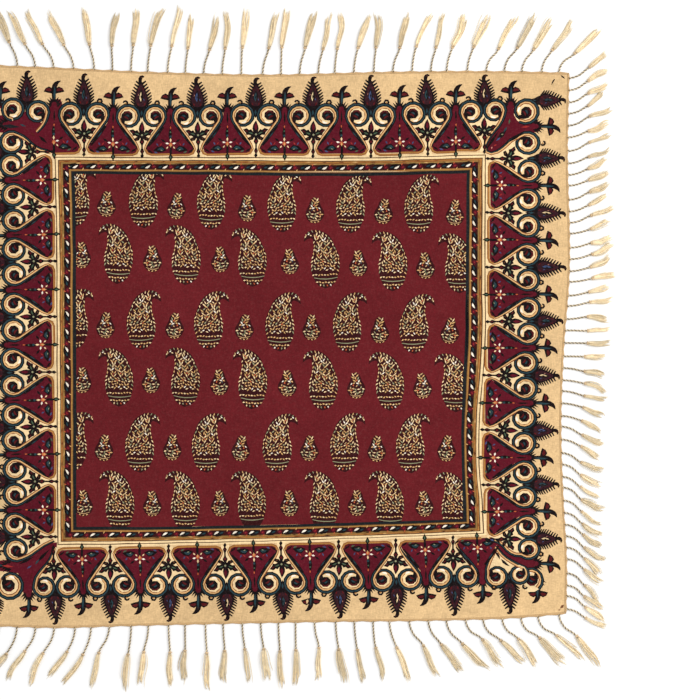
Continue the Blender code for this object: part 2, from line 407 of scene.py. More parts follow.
# The curled bud in a ring, with its tail on the ring's outer side
BUD = [
    ("cream", disc((0, 0), 7.4, 8)),
    ("black", disc((0.8, 0.3), 5.7, 8, 0.94)),
    ("black", [(3.0, 4.4), (6.2, 2.6), (7.2, -2.0), (6.4, -6.0), (4.0, -8.4), (3.0, -4.2)]),
    ("dull_red", stroke([(-3.2, 1.6), (0.4, 4.8), (4.4, 2.0)], [0, 2.0, 1.6, 0], 4)),
    ("dull_red", leaf((4.6, -0.4), (-0.6, -3.8), 2.0, -1.2)),
    ("teal", leaf((-1.4, -0.8), (2.6, 1.2), 1.7, 0.6)),
    ("white", leaf((-4.6, -5.4), (1.4, -7.2), 2.0, -0.8)),
]


def print_bud(cloth_print, block, side, ring=RING, size=1.0):
    def in_ring(points):
        return block((np.asarray(points, float) * size + ring) * (side, 1))
    cloth_print.press(in_ring, BUD)


# The budding stem inside a heart: its stem, what it has on each side, and its tip
SPRAY_STEM = [
    ("black", [(0.0, -1.8), (2.0, 0.6), (1.1, 2.8), (2.4, 5.2), (1.1, 8.6), (1.2, 11.8), (2.8, 15.0),
               (1.8, 17.8), (2.6, 21.6), (-1.8, 21.6), (-1.0, 17.8), (-2.2, 15.0), (-0.5, 11.8),
               (-0.5, 8.6), (-1.8, 5.2), (-0.4, 2.8), (-1.6, 0.6)]),
    ("dull_red", kite((0.3, 5.0), 90, 3.0, 1.4)),
    ("dull_red", disc((0.4, 15.0), 1.4, 5)),
]
SPRAY_SIDE = [
    ("black", [(0.6, 19.6), (3.6, 19.8), (6.4, 21.4), (9.0, 21.2), (9.8, 23.6), (12.6, 26.8), (8.6, 28.0),
               (6.4, 26.2), (4.4, 27.0), (2.6, 24.6), (0.6, 24.4)]),
    ("green", leaf((2.4, 22.0), (7.2, 24.0), 1.3, 0.3)),
    ("dull_red", kite((9.0, 25.2), 35, 4.0, 1.3)),
    ("black", [(0.6, 20.2), (2.8, 16.6), (6.6, 15.8), (8.2, 18.0), (5.4, 19.8), (2.6, 21.0)]),
    ("brown", kite((5.0, 18.0), 10, 2.6, 0.8)),
]
SPRAY_TIP = [
    ("black", stroke([(0.3, 22.0), (0.0, 29.0), (0.6, 35.8)], [2.6, 6.4, 4.8, 0], 6)),
    ("deep_red", leaf((0.3, 25.6), (0.6, 33.4), 3.0)),
    ("sage", disc((0.4, 21.8), 1.1, 6)),
]


def print_spray(cloth_print, block):
    cloth_print.press(block, SPRAY_STEM)
    cloth_print.press(block, SPRAY_SIDE, (1, -1))
    cloth_print.press(block, SPRAY_TIP)


# The bristled cone that stands between two rings: its foot, its body, its spikes, and the dabs in it
CONE_BASE = 48.4
CONE_TOP = 81.6
SHORTEST_CONE = 0.74
CONE_FOOT = [
    ("black", both_sides([(0.0, 37.6), (1.5, 41.0), (2.6, 45.0), (4.6, 48.4), (5.2, 51.0)])),
    ("teal", kite((0.0, 43.6), 90, 6.0, 2.2)),
]
CONE = [(0.0, CONE_BASE), (3.4, 49.0), (5.5, 50.8), (6.7, 53.8), (7.1, 57.0), (6.6, 60.4), (5.5, 64.0),
        (4.1, 67.8), (2.8, 71.2), (1.3, 75.0)]
CONE_HEART = (both_sides(CONE) - (0, 59)) * (0.80, 0.84) + (0, 59.2)
CONE_SPIKES = 8
CONE_SPIKE_STEP = 2.9
LOWEST_SPIKE = 52.4
BUD_WIDTHS = {"teal": 2.6, "blue": 2.6, "cream": 1.9}
CONE_DABS = [
    ("black", kite((-0.1, 60.2), 90, 5.4, 1.3)), ("blue", kite((2.6, 57.4), 110, 3.0, 1.0)),
    ("rose", kite((-2.9, 62.0), 75, 2.6, 0.9)),
]
CONE_SIDE_DABS = [
    ("dull_red", kite((3.2, 52.6), 70, 4.0, 1.8)), ("black", kite((3.6, 61.0), 112, 4.4, 1.0)),
    ("dull_red", kite((2.4, 68.0), 110, 3.4, 1.0)),
]
CONE_CURL = [
    ("black", stroke([(0.0, 73.0), (-2.2, 77.0), (0.2, 81.6), (3.4, 79.8)], [2.6, 4.0, 3.6, 1.2], 6)),
    ("brown", kite((0.9, 79.4), 20, 1.8, 0.8)),
]


def fitted_cone(block):
    """The block of a cone, pressed shorter where the cloth's edge lies near its tip."""
    foot, tip = block([(0.0, CONE_BASE), (0.0, CONE_TOP)])
    held = held_inside(tip[None])[0]
    share = clip(np.hypot(*(held - foot)) / np.hypot(*(tip - foot)), SHORTEST_CONE, 1.0)

    def land(points):
        points = np.asarray(points, float)
        return block(np.column_stack([points[:, 0], CONE_BASE + (points[:, 1] - CONE_BASE) * share]))
    return land


def cone_spike(number):
    """One blunt spike on a cone's right side, counted from the lowest."""
    y = LOWEST_SPIKE + CONE_SPIKE_STEP * number
    flank = np.array(CONE[3:])
    reach = np.interp(y, flank[:, 1], flank[:, 0]) - 1.0
    length = 5.0 - 0.10 * number
    tip = y + length * 0.7
    return [(reach, y - 1.6), (reach + length, tip - 0.6), (reach + length - 0.6, tip + 0.6),
            (reach - 0.6, y + 1.1)]


def print_cone(cloth_print, block, bud="teal"):
    """A cone with a bud of some dye in it."""
    block = fitted_cone(block)
    for number in range(CONE_SPIKES):
        cloth_print.press(block, [("black", cone_spike(number))], (1, -1))
    cloth_print.stamp("black", block, both_sides(CONE), soaks=True)
    cloth_print.press(block, [
        ("plum", CONE_HEART), ("black", leaf((0.1, 54.0), (0.3, 68.0), 4.6, 0.3)),
        (bud, leaf((-0.4, 55.4), (0.1, 65.4), BUD_WIDTHS[bud], 0.4)),
    ])
    cloth_print.press(block, CONE_DABS)
    cloth_print.press(block, CONE_SIDE_DABS, (1, -1))
    cloth_print.press(block, CONE_CURL)


def print_hook(cloth_print, block, x, y, start):
    """The little hook on a ring's crown, from the angle in degrees at which it starts."""
    hook = stroke(arc((x, y), 2.2, start, -60, 6), [1.6, 2.1, 2.2, 1.8])
    cloth_print.press(block, [("black", hook), ("ochre", kite((x + 0.1, y - 0.2), 10, 2.2, 1.6))])


# The three-leaved flower on a bell's neck, with its horn bent to one side
TREFOIL_STEM = [("black", stroke([(0, 49.0), (-0.3, 54), (0, 60.6)], [4.0, 3.6, 4.8], 4))]
TREFOIL_PETAL = [
    ("black", [(0.2, 56.2), (3.2, 57.4), (6.4, 58.0), (10.2, 59.2), (8.2, 62.6), (4.8, 64.2), (0.0, 61.4)]),
    ("dull_red", leaf((2.0, 59.8), (8.8, 60.6), 3.2, 0.9)),
]
TREFOIL_HORN = [
    ("black", stroke([(0.0, 58.0), (-0.8, 64.4), (2.0, 68.8), (6.6, 70.0)], [4.8, 5.2, 4.2, 0.6], 6)),
    ("teal", leaf((0.0, 51.0), (0.6, 65.0), 2.2, -0.3)),
]
# The bell's neck under it, and its bristles: where each starts, and how far it reaches
COLLAR = [
    ("black", both_sides([(3.0, 43.4), (4.6, 45.6), (4.4, 47.8), (2.8, 50.0), (0.0, 51.4)])),
    ("deep_red", both_sides([(3.0, 43.0), (3.2, 46.0), (2.0, 48.4), (0.0, 49.4)])),
]
BRISTLES = [(3.6, 45.4, 5.0, 4.4), (3.2, 47.4, 3.8, 5.2), (2.2, 49.2, 2.4, 5.0)]


def print_trefoil(cloth_print, block):
    """A three-leaved flower and the bristled neck that it stands on."""
    cloth_print.press(block, COLLAR)
    for x, y, reach_x, reach_y in BRISTLES:
        bristle = [(x + 0.3, y - 1.5), (x + reach_x, y + reach_y), (x - 1.6, y + 0.9)]
        cloth_print.press(block, [("black", bristle)], (1, -1))
    cloth_print.press(block, TREFOIL_STEM)
    cloth_print.press(block, TREFOIL_PETAL, (1, -1))
    cloth_print.press(block, TREFOIL_HORN)


# The red bell between two hearts
BELL = both_sides([
    (0.0, 2.6), (20.4, 2.6), (23.4, 4.4), (24.4, 8.0), (22.4, 12.0), (17.4, 18.8), (11.2, 26.2),
    (5.8, 33.4), (3.9, 39.6), (3.9, 44.4), (3.3, 47.6), (2.2, 49.8), (0.0, 50.8),
])
# Its flower: the bead under it that crosses the base, its stem, its sides, and its middle
BELL_STEM = [
    ("black", kite((0.1, -0.2), 90, 8.4, 4.6)),
    ("green", kite((0.1, -0.2), 90, 4.0, 1.8)),
    ("black", stroke([(0, 2), (0.2, 6), (0, 11)], [1.6, 2.8, 1.8], 4)),
    ("black", stroke([(0, 16), (-0.5, 23), (0.2, 32.0)], [1.6, 3.4, 0.6], 5)),
    ("teal", disc((0, 20.6), 1.3, 6)),
    ("green", disc((-0.1, 25.2), 0.9, 5)),
    ("orange", kite((0.1, 29.6), 90, 3.4, 1.4)),
    ("black", leaf((0.2, 33), (0, 45), 1.8)),
]
BELL_EDGE = [
    ("black", [(17.6, 3.8), (21.8, 5.6), (23.4, 8.6), (19.2, 6.4)]),
    ("black", stroke([(21.6, 11.2), (14.8, 20.2), (7.0, 30.6)], [1.2, 3.6, 2.2], 4)),
    ("teal", kite((13.0, 21.6), 127, 8.0, 1.2)),
    ("black", leaf((4.2, 7.0), (17.6, 6.6), 6.4, 1.4)),
    ("teal", leaf((6.4, 8.0), (13.6, 7.4), 3.0, 0.9)),
    ("sage", kite((9.2, 7.2), 15, 2.6, 0.9)),
]
BELL_BUD = kite((14.8, 5.0), 20, 4.4, 1.8)
BELL_PETALS = [
    ("bright_red", kite((9.8, 12.8), 130, 3.6, 1.3)), ("blue", kite((13.2, 12.8), 60, 3.6, 1.6)),
    ("white", kite((3.4, 13.8), 12, 3.8, 1.9)), ("cream", kite((3.4, 9.6), -50, 3.0, 1.5)),
    ("black", kite((7.2, 16.4), 35, 6.0, 2.4)),
]
BELL_MIDDLE = [
    ("cream", kite((0, 16.8), 90, 4.4, 2.0)), ("orange", disc((0, 12.6), 2.0, 6)),
    ("pale_ochre", kite((0.1, 11.6), 90, 4.4, 1.3)),
]


def print_bell(cloth_print, block):
    cloth_print.stamp("deep_red", block, BELL, soaks=True)


def print_bell_flower(cloth_print, block, sides=(1, -1)):
    cloth_print.press(block, BELL_STEM)
    for side in sides:
        bud = ("green" if side > 0 else "blue", BELL_BUD)
        cloth_print.press(block, BELL_EDGE + [bud] + BELL_PETALS, (side,))
    cloth_print.press(block, BELL_MIDDLE)


def print_half_heart(cloth_print, block, side, rise=None, ring=RING, radius=RING_RADIUS, first=RING_START):
    """One side of a heart: its banded line, and the ring that it curls into."""
    line, stations = heart_line(rise, ring, radius, first)
    print_bands(cloth_print, block, line, stations, side)
    print_bud(cloth_print, block, side, ring, radius / RING_RADIUS)


def heart_ground(rise=None, ring=RING, radius=RING_RADIUS, first=RING_START):
    """Half the outline of a heart's cream ground, from its foot to where its ring meets the other."""
    line, stations = heart_line(rise, ring, radius, first)
    start = 4 if rise is None else 0
    return line[start:][stations[start:] <= RINGS_MEET]


def print_heart(cloth_print, block, halves, spray=True, bud="teal"):
    """A heart: its cream ground, its banded line curled into two rings, and all that stands in and on it."""
    right, left = heart_ground(**halves.get(1, {})), heart_ground(**halves.get(-1, {}))
    parts = [right, mirrored(left)[::-1]]
    if 1 not in halves:
        parts.insert(0, [HEART_FOOT])
    if -1 not in halves:
        parts.append(mirrored([HEART_FOOT]))
    cloth_print.stamp("cream", block, np.vstack(parts))
    cloth_print.press(block, CONE_FOOT)
    for side in (1, -1):
        print_half_heart(cloth_print, block, side, **halves.get(side, {}))
    print_cone(cloth_print, block, bud)
    if spray:
        print_spray(cloth_print, block)
    print_hook(cloth_print, block, 15.7, 53.8, 230)
    print_hook(cloth_print, block, -15.9, 53.8, 170)


# The corners of the border's inner line, which is the guard band's outer line, and the sides between them
CORNERS = {"top_left": (-216.8, 193.0), "top_right": (218.9, 195.0),
           "bottom_right": (217.0, -187.5), "bottom_left": (-213.5, -199.0)}
SIDES = {"top": ("top_left", "top_right"), "right": ("top_right", "bottom_right"),
         "bottom": ("bottom_right", "bottom_left"), "left": ("bottom_left", "top_left")}
# For each side the place of its first heart, the pitch of its hearts, and how tall they are
HEARTS = 8
BORDERS = {
    "top": {"first": 31.3, "pitch": 57.26, "tall": 1.0},
    "right": {"first": 5.9, "pitch": 54.3, "tall": 1.03},
    "bottom": {"first": 33.8, "pitch": 56.98, "tall": 0.98},
    "left": {"first": 9.5, "pitch": 55.0, "tall": 1.03},
}
# How far the border's print bows outwards on each side: (share of the side, millimetres)
BORDER_BOWS = {
    "top": [(0.0, 0.0), (0.08, -1.0), (0.2, -2.8), (0.4, -3.2), (0.75, -2.8), (0.92, -1.2), (1.0, 0.0)],
    "right": [(0.0, -0.5), (0.17, -1.3), (0.31, -1.8), (0.46, -1.3), (0.6, -4.0), (0.72, -5.6),
              (0.85, -4.6), (0.95, -1.8), (1.0, 0.0)],
    "bottom": [(0.0, 0.0), (0.25, 1.8), (0.5, 2.6), (0.75, 1.9), (1.0, 0.0)],
    "left": [(0.0, 0.0), (0.08, -1.6), (0.25, -2.0), (0.42, -0.4), (0.5, -0.2), (0.63, -1.7), (0.85, -2.8),
             (1.0, -1.0)],
}
# The same for the guard band's outer line, by the corner that each side starts from
GUARD_BOWS = {
    "top_left": [(0.0, 0.0), (0.2, -1.2), (0.4, -2.0), (0.75, -1.9), (0.9, -0.7), (1.0, 0.0)],
    "top_right": [(0.0, 0.0), (0.3, -0.6), (0.53, -0.4), (0.63, -3.2), (0.72, -5.2), (0.82, -4.8),
                  (0.92, -1.4), (1.0, 0.0)],
    "bottom_right": [(0.0, 0.0), (0.25, 1.2), (0.5, 2.6), (0.75, 1.9), (1.0, 0.0)],
    "bottom_left": [(0.0, 0.0), (0.6, 0.0), (0.8, -0.9), (1.0, 0.0)],
}
# How much less the inner line of the right guard band bows than its outer one
RIGHT_GUARD_EASE = 0.6


def border_block(side, place, jitter=None):
    """The block of a border's unit at a place in millimetres from its side's first corner."""
    border = BORDERS[side]
    start, end = (np.array(CORNERS[corner]) for corner in SIDES[side])
    run = end - start
    length = np.hypot(*run)
    bow = smooth_value(BORDER_BOWS[side], clip(place / length, 0, 1))
    out = np.array([-run[1], run[0]]) / length
    x, y = start + run * place / length + out * bow
    turn = math.degrees(math.atan2(run[1], run[0]))
    if jitter:
        x, y = x + jitter.uniform(-0.5, 0.5), y + jitter.uniform(-0.4, 0.4)
        turn += jitter.uniform(-0.5, 0.5)
    return pressed(x, y, turn, border["pitch"] / (2 * HALF_PITCH), border["tall"])


# Halves of hearts that are cut short by a corner of the cloth: the border, the heart's number, its side
CORNER_HALVES = {
    ("left", 7, 1): {"rise": [(1.0, 1.0), (2.5, 3.6), (4.7, 11.4), (9.6, 19.1), (17.2, 26.6)],
                     "ring": (10.2, 40.0), "radius": 12.8, "first": -38},
    ("top", 7, 1): {"rise": [(4.5, 1.2), (2.6, 4.7), (5.2, 10.9), (12.3, 21.1), (18.0, 28.4)],
                    "ring": (10.6, 42.2), "radius": 12.4, "first": -28},
    ("right", 0, -1): {"rise": [(9.3, -0.4), (7.5, 1.6), (7.8, 6.4), (13.3, 15.1), (20.9, 21.9)],
                       "ring": (16.2, 38.9), "radius": 13.0, "first": -42},
    ("right", 7, 1): {"rise": [(0.8, 1.5), (2.1, 4.1), (6.8, 13.7), (14.0, 20.0), (19.0, 27.6)],
                      "ring": (10.4, 42.0), "radius": 12.3, "first": -42},
    ("left", 0, -1): {"rise": [(5.0, 1.5), (6.4, 4.4), (9.0, 9.6), (15.5, 18.2), (21.0, 25.6)],
                      "ring": (13.2, 39.8), "radius": 13.0, "first": -30},
    ("bottom", 7, 1): {"rise": [(1.6, 0.6), (3.2, 7.6), (8.0, 15.6), (15.6, 23.5), (20.4, 30.0)],
                       "ring": (11.0, 41.0), "radius": 12.4, "first": -24},
}
# The red between the hearts at each corner of the cloth
CORNER_REDS = [
    [(-274, 232.0), (-257, 232.0), (-246, 234.0), (-240.5, 238.0), (-235, 234.0), (-228, 224.0),
     (-224, 228.0), (-221, 234.0), (-219, 248.0), (-209, 248.0), (-204, 234.0), (-199, 221.0),
     (-191, 208.0), (-184, 196.0), (-217, 193.5), (-227, 194.0), (-236, 200.5), (-245, 208.5),
     (-254, 214.5), (-274, 214.5)],
    [(217.0, 194.6), (216.0, 204.0), (225.0, 217.0), (233.0, 226.0), (235.5, 240.0), (238.4, 249.4),
     (244.6, 249.4), (246.0, 240.0), (250.0, 227.6), (262.0, 227.0), (270.5, 225.4), (270.5, 215.6),
     (257.0, 213.4), (243.0, 206.0), (234.0, 199.5), (226.0, 193.6)],
    [(217.5, -190.9), (232.6, -191.7), (238.2, -200.4), (246.4, -206.0), (255.1, -209.5), (261.7, -210.6),
     (270.5, -212.4), (270.5, -220.5), (264.7, -224.0), (256.1, -226.6), (246.4, -224.4), (237.3, -223.1),
     (228.2, -218.2), (221.3, -208.5)],
    [(-211.7, -194.2), (-213.0, -206.2), (-219.6, -215.8), (-227.2, -224.5), (-233.6, -231.6),
     (-236.9, -240.3), (-238.3, -250.0), (-244.5, -250.0), (-247.0, -243.4), (-249.6, -232.7),
     (-251.5, -225.3), (-262.2, -224.0), (-274.5, -223.0), (-274.5, -213.4), (-254.2, -211.0),
     (-246.5, -209.6), (-232.7, -202.4), (-223.6, -196.2)],
]
# A half heart tucked into the top left corner, and a small heart squeezed into the bottom right one
TUCKED_HEART_PLACE = -25.1
TUCKED_HEART = {"rise": [(10.7, 21.0), (16.0, 26.0), (20.4, 32.6)],
                "ring": (10.9, 42.4), "radius": 12.4, "first": -28}
SQUEEZED_HEART_PLACE = -21.5
SQUEEZED_HEART = {
    1: {"rise": [(12.2, 11.0), (17.6, 19.2), (22.0, 28.0), (24.6, 35.6)],
        "ring": (12.9, 43.2), "radius": 12.4, "first": -20},
    -1: {"rise": [(-11.4, 11.0), (-2.4, 21.4), (7.6, 28.0), (14.0, 31.4)],
         "ring": (10.6, 41.4), "radius": 11.0, "first": -50},
}
# Rings at the corners that belong to no whole heart: the middle on the cloth, the turn, the hand, the radius
# and where round it the line starts and ends
CORNER_RINGS = [
    (-256.2, 237.6, 0, -1, 12.4, -84, 268), (256.6, 236.0, -90, 1, 14.0, -32, 326),
    (-260.0, -237.4, 180, 1, 15.0, -32, 326), (261.7, -232.9, 180, -1, 13.2, -130, 46),
]
# Dabs in the corners' reds: the dye, the middle on the cloth, the turn, the length and the width
CORNER_DABS = [
    ("black", 222.4, 206.0, 56, 26.0, 3.2), ("black", 246.0, 209.6, 34, 26.0, 3.0),
    ("black", 232.0, 212.0, 48, 17.0, 5.0), ("blue", 229.0, 208.0, 40, 6.0, 1.8),
    ("teal", 236.0, 218.0, 60, 7.0, 2.2), ("bright_red", 226.0, 202.0, 20, 4.0, 1.5),
    ("green", 240.0, 226.0, 80, 6.0, 1.8), ("rose", 222.6, 199.6, 70, 2.6, 1.3),
    ("bright_red", 256.0, 220.4, 4, 9.0, 2.0), ("sage", 233.0, 213.0, 10, 2.6, 1.2),
    ("black", -226.0, 208.0, 140, 12.0, 3.2), ("blue_black", -258.0, 221.0, 176, 20.0, 4.0),
    ("teal", -246.0, 222.0, 160, 7.0, 2.0), ("dull_red", -236.0, 213.0, 140, 7.0, 2.4),
    ("black", -226.0, -208.0, 226, 20.0, 3.4), ("teal", -232.0, -214.0, 230, 7.0, 2.2),
    ("blue", -240.0, -219.0, 210, 6.0, 1.8), ("black", -243.0, -212.6, 205, 18.0, 3.0),
    ("bright_red", -262.0, -218.4, 176, 12.0, 2.4), ("dull_red", -238.0, -228.0, 258, 10.0, 2.2),
]
CORNER_LEAVES = [("black", leaf((225.6, -204.0), (230.6, -212.0), 2.6, 0.6)),
                 ("black", leaf((231.6, -211.4), (240.4, -219.0), 2.8, -0.8))]
# Flowers and cones that stand alone at the corners: the border, the place along it and the lift outwards
CORNER_TREFOILS = [
    ("top", 1.7, 3.4), ("top", -51.7, 3.0), ("top", 458.3, 2.0), ("right", -26.0, 0.0),
    ("right", 411.3, 2.0), ("bottom", -50.1, 0.8), ("bottom", 5.3, 0.0), ("bottom", 459.6, 1.6),
    ("left", -18.5, 0.0), ("left", 422.0, 0.0),
]
CORNER_CONES = [("top", -25.2, 2.4), ("right", -52.4, 0.0), ("bottom", 495.0, 0.0), ("left", 444.0, 4.0)]
LONE_BELL_PLACE = 5.3
# The places of the flowers in the corners' reds, on the bottom and on the top
CORNER_FLOWERS = (9.5, 1.7)
BORDER_SEED = 5
CONE_BUDS = ("teal", "cream", "blue")


def print_borders(cloth_print):
    """The four rows of hearts and red bells, and what fills the corners between them."""
    rng = random.Random(BORDER_SEED)
    for outline in CORNER_REDS:
        cloth_print.stamp("deep_red", on_cloth, outline, soaks=True)
    for side, place, lift in CORNER_TREFOILS:
        print_trefoil(cloth_print, lifted(border_block(side, place), lift))
    cones = [lifted(border_block(side, place), lift) for side, place, lift in CORNER_CONES]
    for block in cones:
        cloth_print.press(block, CONE_FOOT)
    print_corner_rings(cloth_print)
    for block in cones:
        print_cone(cloth_print, block)
    print_half_heart(cloth_print, border_block("top", TUCKED_HEART_PLACE), 1, **TUCKED_HEART)
    print_bell(cloth_print, border_block("bottom", LONE_BELL_PLACE))
    print_heart(cloth_print, border_block("bottom", SQUEEZED_HEART_PLACE), SQUEEZED_HEART, spray=False)
    for side in BORDERS:
        print_border(cloth_print, side, rng)
    print_bell_flower(cloth_print, border_block("bottom", CORNER_FLOWERS[0]))
    print_bell_flower(cloth_print, border_block("top", CORNER_FLOWERS[1]), sides=(1,))
    for dye, x, y, turn, length, width in CORNER_DABS:
        cloth_print.stamp(dye, on_cloth, kite((x, y), turn, length, width))
    cloth_print.press(on_cloth, CORNER_LEAVES)


def print_border(cloth_print, side, rng):
    """One side's row of hearts, with a bell, its flower and a trefoil between each two."""
    border = BORDERS[side]
    places = [border["first"] + k * border["pitch"] for k in range(HEARTS)]
    hearts = [border_block(side, place, rng) for place in places]
    between = [border_block(side, place + border["pitch"] / 2, rng) for place in places[:-1]]
    for block in between:
        print_bell(cloth_print, block)
    for block in between:
        print_trefoil(cloth_print, block)
    for k, block in enumerate(hearts):
        halves = {hand: CORNER_HALVES[side, k, hand] for hand in (1, -1)
                  if (side, k, hand) in CORNER_HALVES}
        print_heart(cloth_print, block, halves, bud=CONE_BUDS[k % 3])
    for block in between:
        print_bell_flower(cloth_print, block)


def print_corner_rings(cloth_print):
    for x, y, turn, hand, radius, first, last in CORNER_RINGS:
        block = pressed(x, y, turn)
        cloth_print.stamp("cream", block, disc((0, 0), radius * 0.9, 12))
        line, stations = ring_line((0, 0), radius, first, last)
        print_bands(cloth_print, block, line, np.maximum(stations, RISE_END), hand)
        print_bud(cloth_print, block, hand, (0, 0), radius / RING_RADIUS)


# The guard band: the stripes between the border and the field

INNER_CORNERS = {"top_left": (-194.5, 174.0), "top_right": (197.1, 174.0),
                 "bottom_right": (193.5, -171.5), "bottom_left": (-192.5, -179.0)}
# The band's stripes: the dye, and where it starts and ends as shares of the way in
STRIPES = [
    ("cream", 0.0, 0.10), ("umber", 0.10, 0.145), ("cream", 0.145, 0.25), ("umber", 0.25, 0.295),
    ("ochre", 0.295, 0.355), ("rust", 0.355, 0.38), ("olive", 0.38, 0.455), ("umber", 0.455, 0.49),
    ("lace_black", 0.49, 0.735), ("umber", 0.735, 0.755), ("ochre", 0.755, 0.80), ("olive", 0.80, 0.84),
    ("umber", 0.84, 0.865), ("blue_black", 0.865, 1.0),
]
STRIPE_STEP = 16.0
STRIPE_WANDER = 0.22
STREAK_LINES = (0.33, 0.43)
ROPE_LINE = 0.595
GUARD_SEED = 9
ROPE_SEED = 7
ROPE_PITCH = {"top_left": 17.2, "top_right": 16.3, "bottom_right": 17.2, "bottom_left": 17.5}


def guard_bow(first, place, share):
    """How far a line of the guard band bows outwards at a place along it, in millimetres."""
    ease = RIGHT_GUARD_EASE * share if first == "top_right" else 0.0
    return smooth_value(GUARD_BOWS[first], place) * (1 - ease)


def guard_line(first, last, share):
    """A line along one side of the guard band, at a share of the way in from its outer line."""
    start = np.array(CORNERS[first]) * (1 - share) + np.array(INNER_CORNERS[first]) * share
    end = np.array(CORNERS[last]) * (1 - share) + np.array(INNER_CORNERS[last]) * share
    run = end - start
    steps = np.linspace(0, 1, int(np.hypot(*run) / STRIPE_STEP))[:, None]
    out = np.array([-run[1], run[0]]) / np.hypot(*run)
    bows = np.array([[guard_bow(first, step, share)] for step in steps.ravel()])
    return start + run * steps + out * bows


def print_guard(cloth_print):
    rng = np.random.default_rng(GUARD_SEED)
    for first, last in SIDES.values():
        edge = guard_line(first, last, STRIPES[0][1])
        for dye, near, far in STRIPES:
            next_edge = guard_line(first, last, far)
            next_edge[1:-1] += rng.uniform(-STRIPE_WANDER, STRIPE_WANDER, next_edge[1:-1].shape)
            soaks = dye in ("lace_black", "blue_black")
            cloth_print.stamp(dye, on_cloth, np.vstack([edge, next_edge[::-1]]), soaks=soaks)
            edge = next_edge
        for near in STREAK_LINES:
            print_streaks(cloth_print, guard_line(first, last, near), rng)
        print_rope(cloth_print, first, last)


def print_streaks(cloth_print, line, rng):
    """Short brown streaks where the ochre took unevenly."""
    run = line[-1] - line[0]
    turn = math.degrees(math.atan2(run[1], run[0]))
    for start, end in zip(line, line[1:]):
        middle = start + (end - start) * rng.uniform(0, 1)
        outline = kite(middle, turn + rng.uniform(-9, 9), rng.uniform(4.0, 8.0), rng.uniform(0.7, 1.2))
        cloth_print.stamp(rng.choice(("brown", "pale_ochre", "rust", "umber")), on_cloth, outline)


# One repeat of the rope between the ochre stripes: a dark slanting leaf with a white fleck, and a red one
ROPE = [
    ("black", leaf((-7.4, -1.4), (6.2, 1.4), 6.2, 0.3)),
    ("teal", leaf((-6.0, -0.8), (-1.6, 0.5), 1.6)),
    ("white", leaf((-1.6, -1.5), (3.8, 1.4), 2.0, -0.5)),
    ("deep_red", leaf((4.6, 0.4), (9.8, -0.6), 4.4)),
    ("orange", kite((6.2, 2.7), 60, 3.0, 1.1)),
    ("bright_red", kite((7.0, -0.2), 30, 2.4, 1.2)),
    ("pale_ochre", kite((8.8, -2.7), 60, 3.0, 1.1)),
]


def print_rope(cloth_print, first, last):
    middle = guard_line(first, last, ROPE_LINE)
    start, run = middle[0], middle[-1] - middle[0]
    length = np.hypot(*run)
    turn = math.degrees(math.atan2(run[1], run[0]))
    out = np.array([-run[1], run[0]]) / length
    count = int(length / ROPE_PITCH[first])
    rng = random.Random(ROPE_SEED)
    for k in range(count):
        place = (k + 0.5) / count
        x, y = start + run * place + out * guard_bow(first, place, ROPE_LINE)
        cloth_print.press(pressed(x + rng.uniform(-0.8, 0.8), y, turn), ROPE)


# The red field and its rows of leaning leaves

LARGE_LEAF = [(1, -31.5), (-5, -29.6), (-9.8, -26.4), (-12.4, -22.6), (-14.8, -17), (-16.4, -10), (-17, -3),
              (-16.2, 3.4), (-13.6, 9.6), (-11.2, 15), (-8.6, 20.4), (-4.6, 25), (0.4, 28.2), (6, 30.6),
              (12, 31.2), (17.4, 30.2), (21.4, 27.4), (23.4, 23.4), (24.2, 18.6), (20.2, 21.4), (16, 22.6),
              (13.8, 21), (13.6, 18), (13.0, 13), (14.0, 7), (15.6, 1), (16.4, -6), (16.2, -13),
              (14.2, -19), (12, -24), (8.6, -28)]
SMALL_LEAF = [(0, -13.8), (-4.6, -12.6), (-7.8, -9.6), (-9.6, -5.6), (-9.4, -1.2), (-7.6, 2.4), (-5.8, 5.6),
              (-4.8, 9.4), (-2.6, 12.6), (0.6, 13.8), (3.8, 12.4), (5.4, 9.4), (6.2, 5.6), (7.9, 2.2),
              (9.7, -1.4), (9.8, -5.8), (7.6, -9.8), (4.4, -12.6)]
# The small leaf's rosettes, and the part of the large leaf that is filled with them
SMALL_ROSETTES = [(-4.9, -4.6), (0.1, -6.4), (4.9, -4.4), (-2.7, 0.2), (2.9, 0.4), (-0.6, 5.2), (1.2, 9.6)]
LARGE_LACE = [(-14.0, -15), (-14.6, -8), (-14.8, -2), (-13.8, 3.0), (-11.4, 8.8), (-9.0, 14.0),
              (-6.2, 18.8), (-2.6, 22.8), (1.8, 25.6), (6, 27.4), (11, 28.2), (13.4, 27.4), (12.6, 19),
              (11.8, 13), (12.4, 7), (14.0, 1), (14.8, -6), (14.2, -15)]
# The lines along the large leaf's outer and inner sides that its rim's dabs follow, and how the dabs lean
LARGE_RIMS = [
    ([(-13.2, -14.5), (-14.6, -8.6), (-15.0, -2.6), (-14.2, 3.2), (-11.9, 8.8), (-9.5, 14.0), (-6.8, 19.0),
      (-3.2, 23.0), (1.4, 26.2), (6.2, 28.4), (11.4, 29.2), (16.2, 28.4), (19.6, 26.2), (21.6, 23.4)], 64),
    ([(12.6, 19.6), (11.8, 13.0), (12.6, 7.0), (14.2, 1.0), (15.0, -6.0), (14.6, -13.0)], 116),
]
RIM_SPACING = 3.9
ROSETTE_SPACING = 7.4
# How near each other two dabs may lie
DAB_ROOM = 2.15
# How wide and tall the leaves are printed, and their dark grounds as a share of their outlines
LARGE_SIZE = (0.90, 0.97)
SMALL_SIZE = (1.0, 0.98)
LEAF_GROUND = (0.96, 0.98)
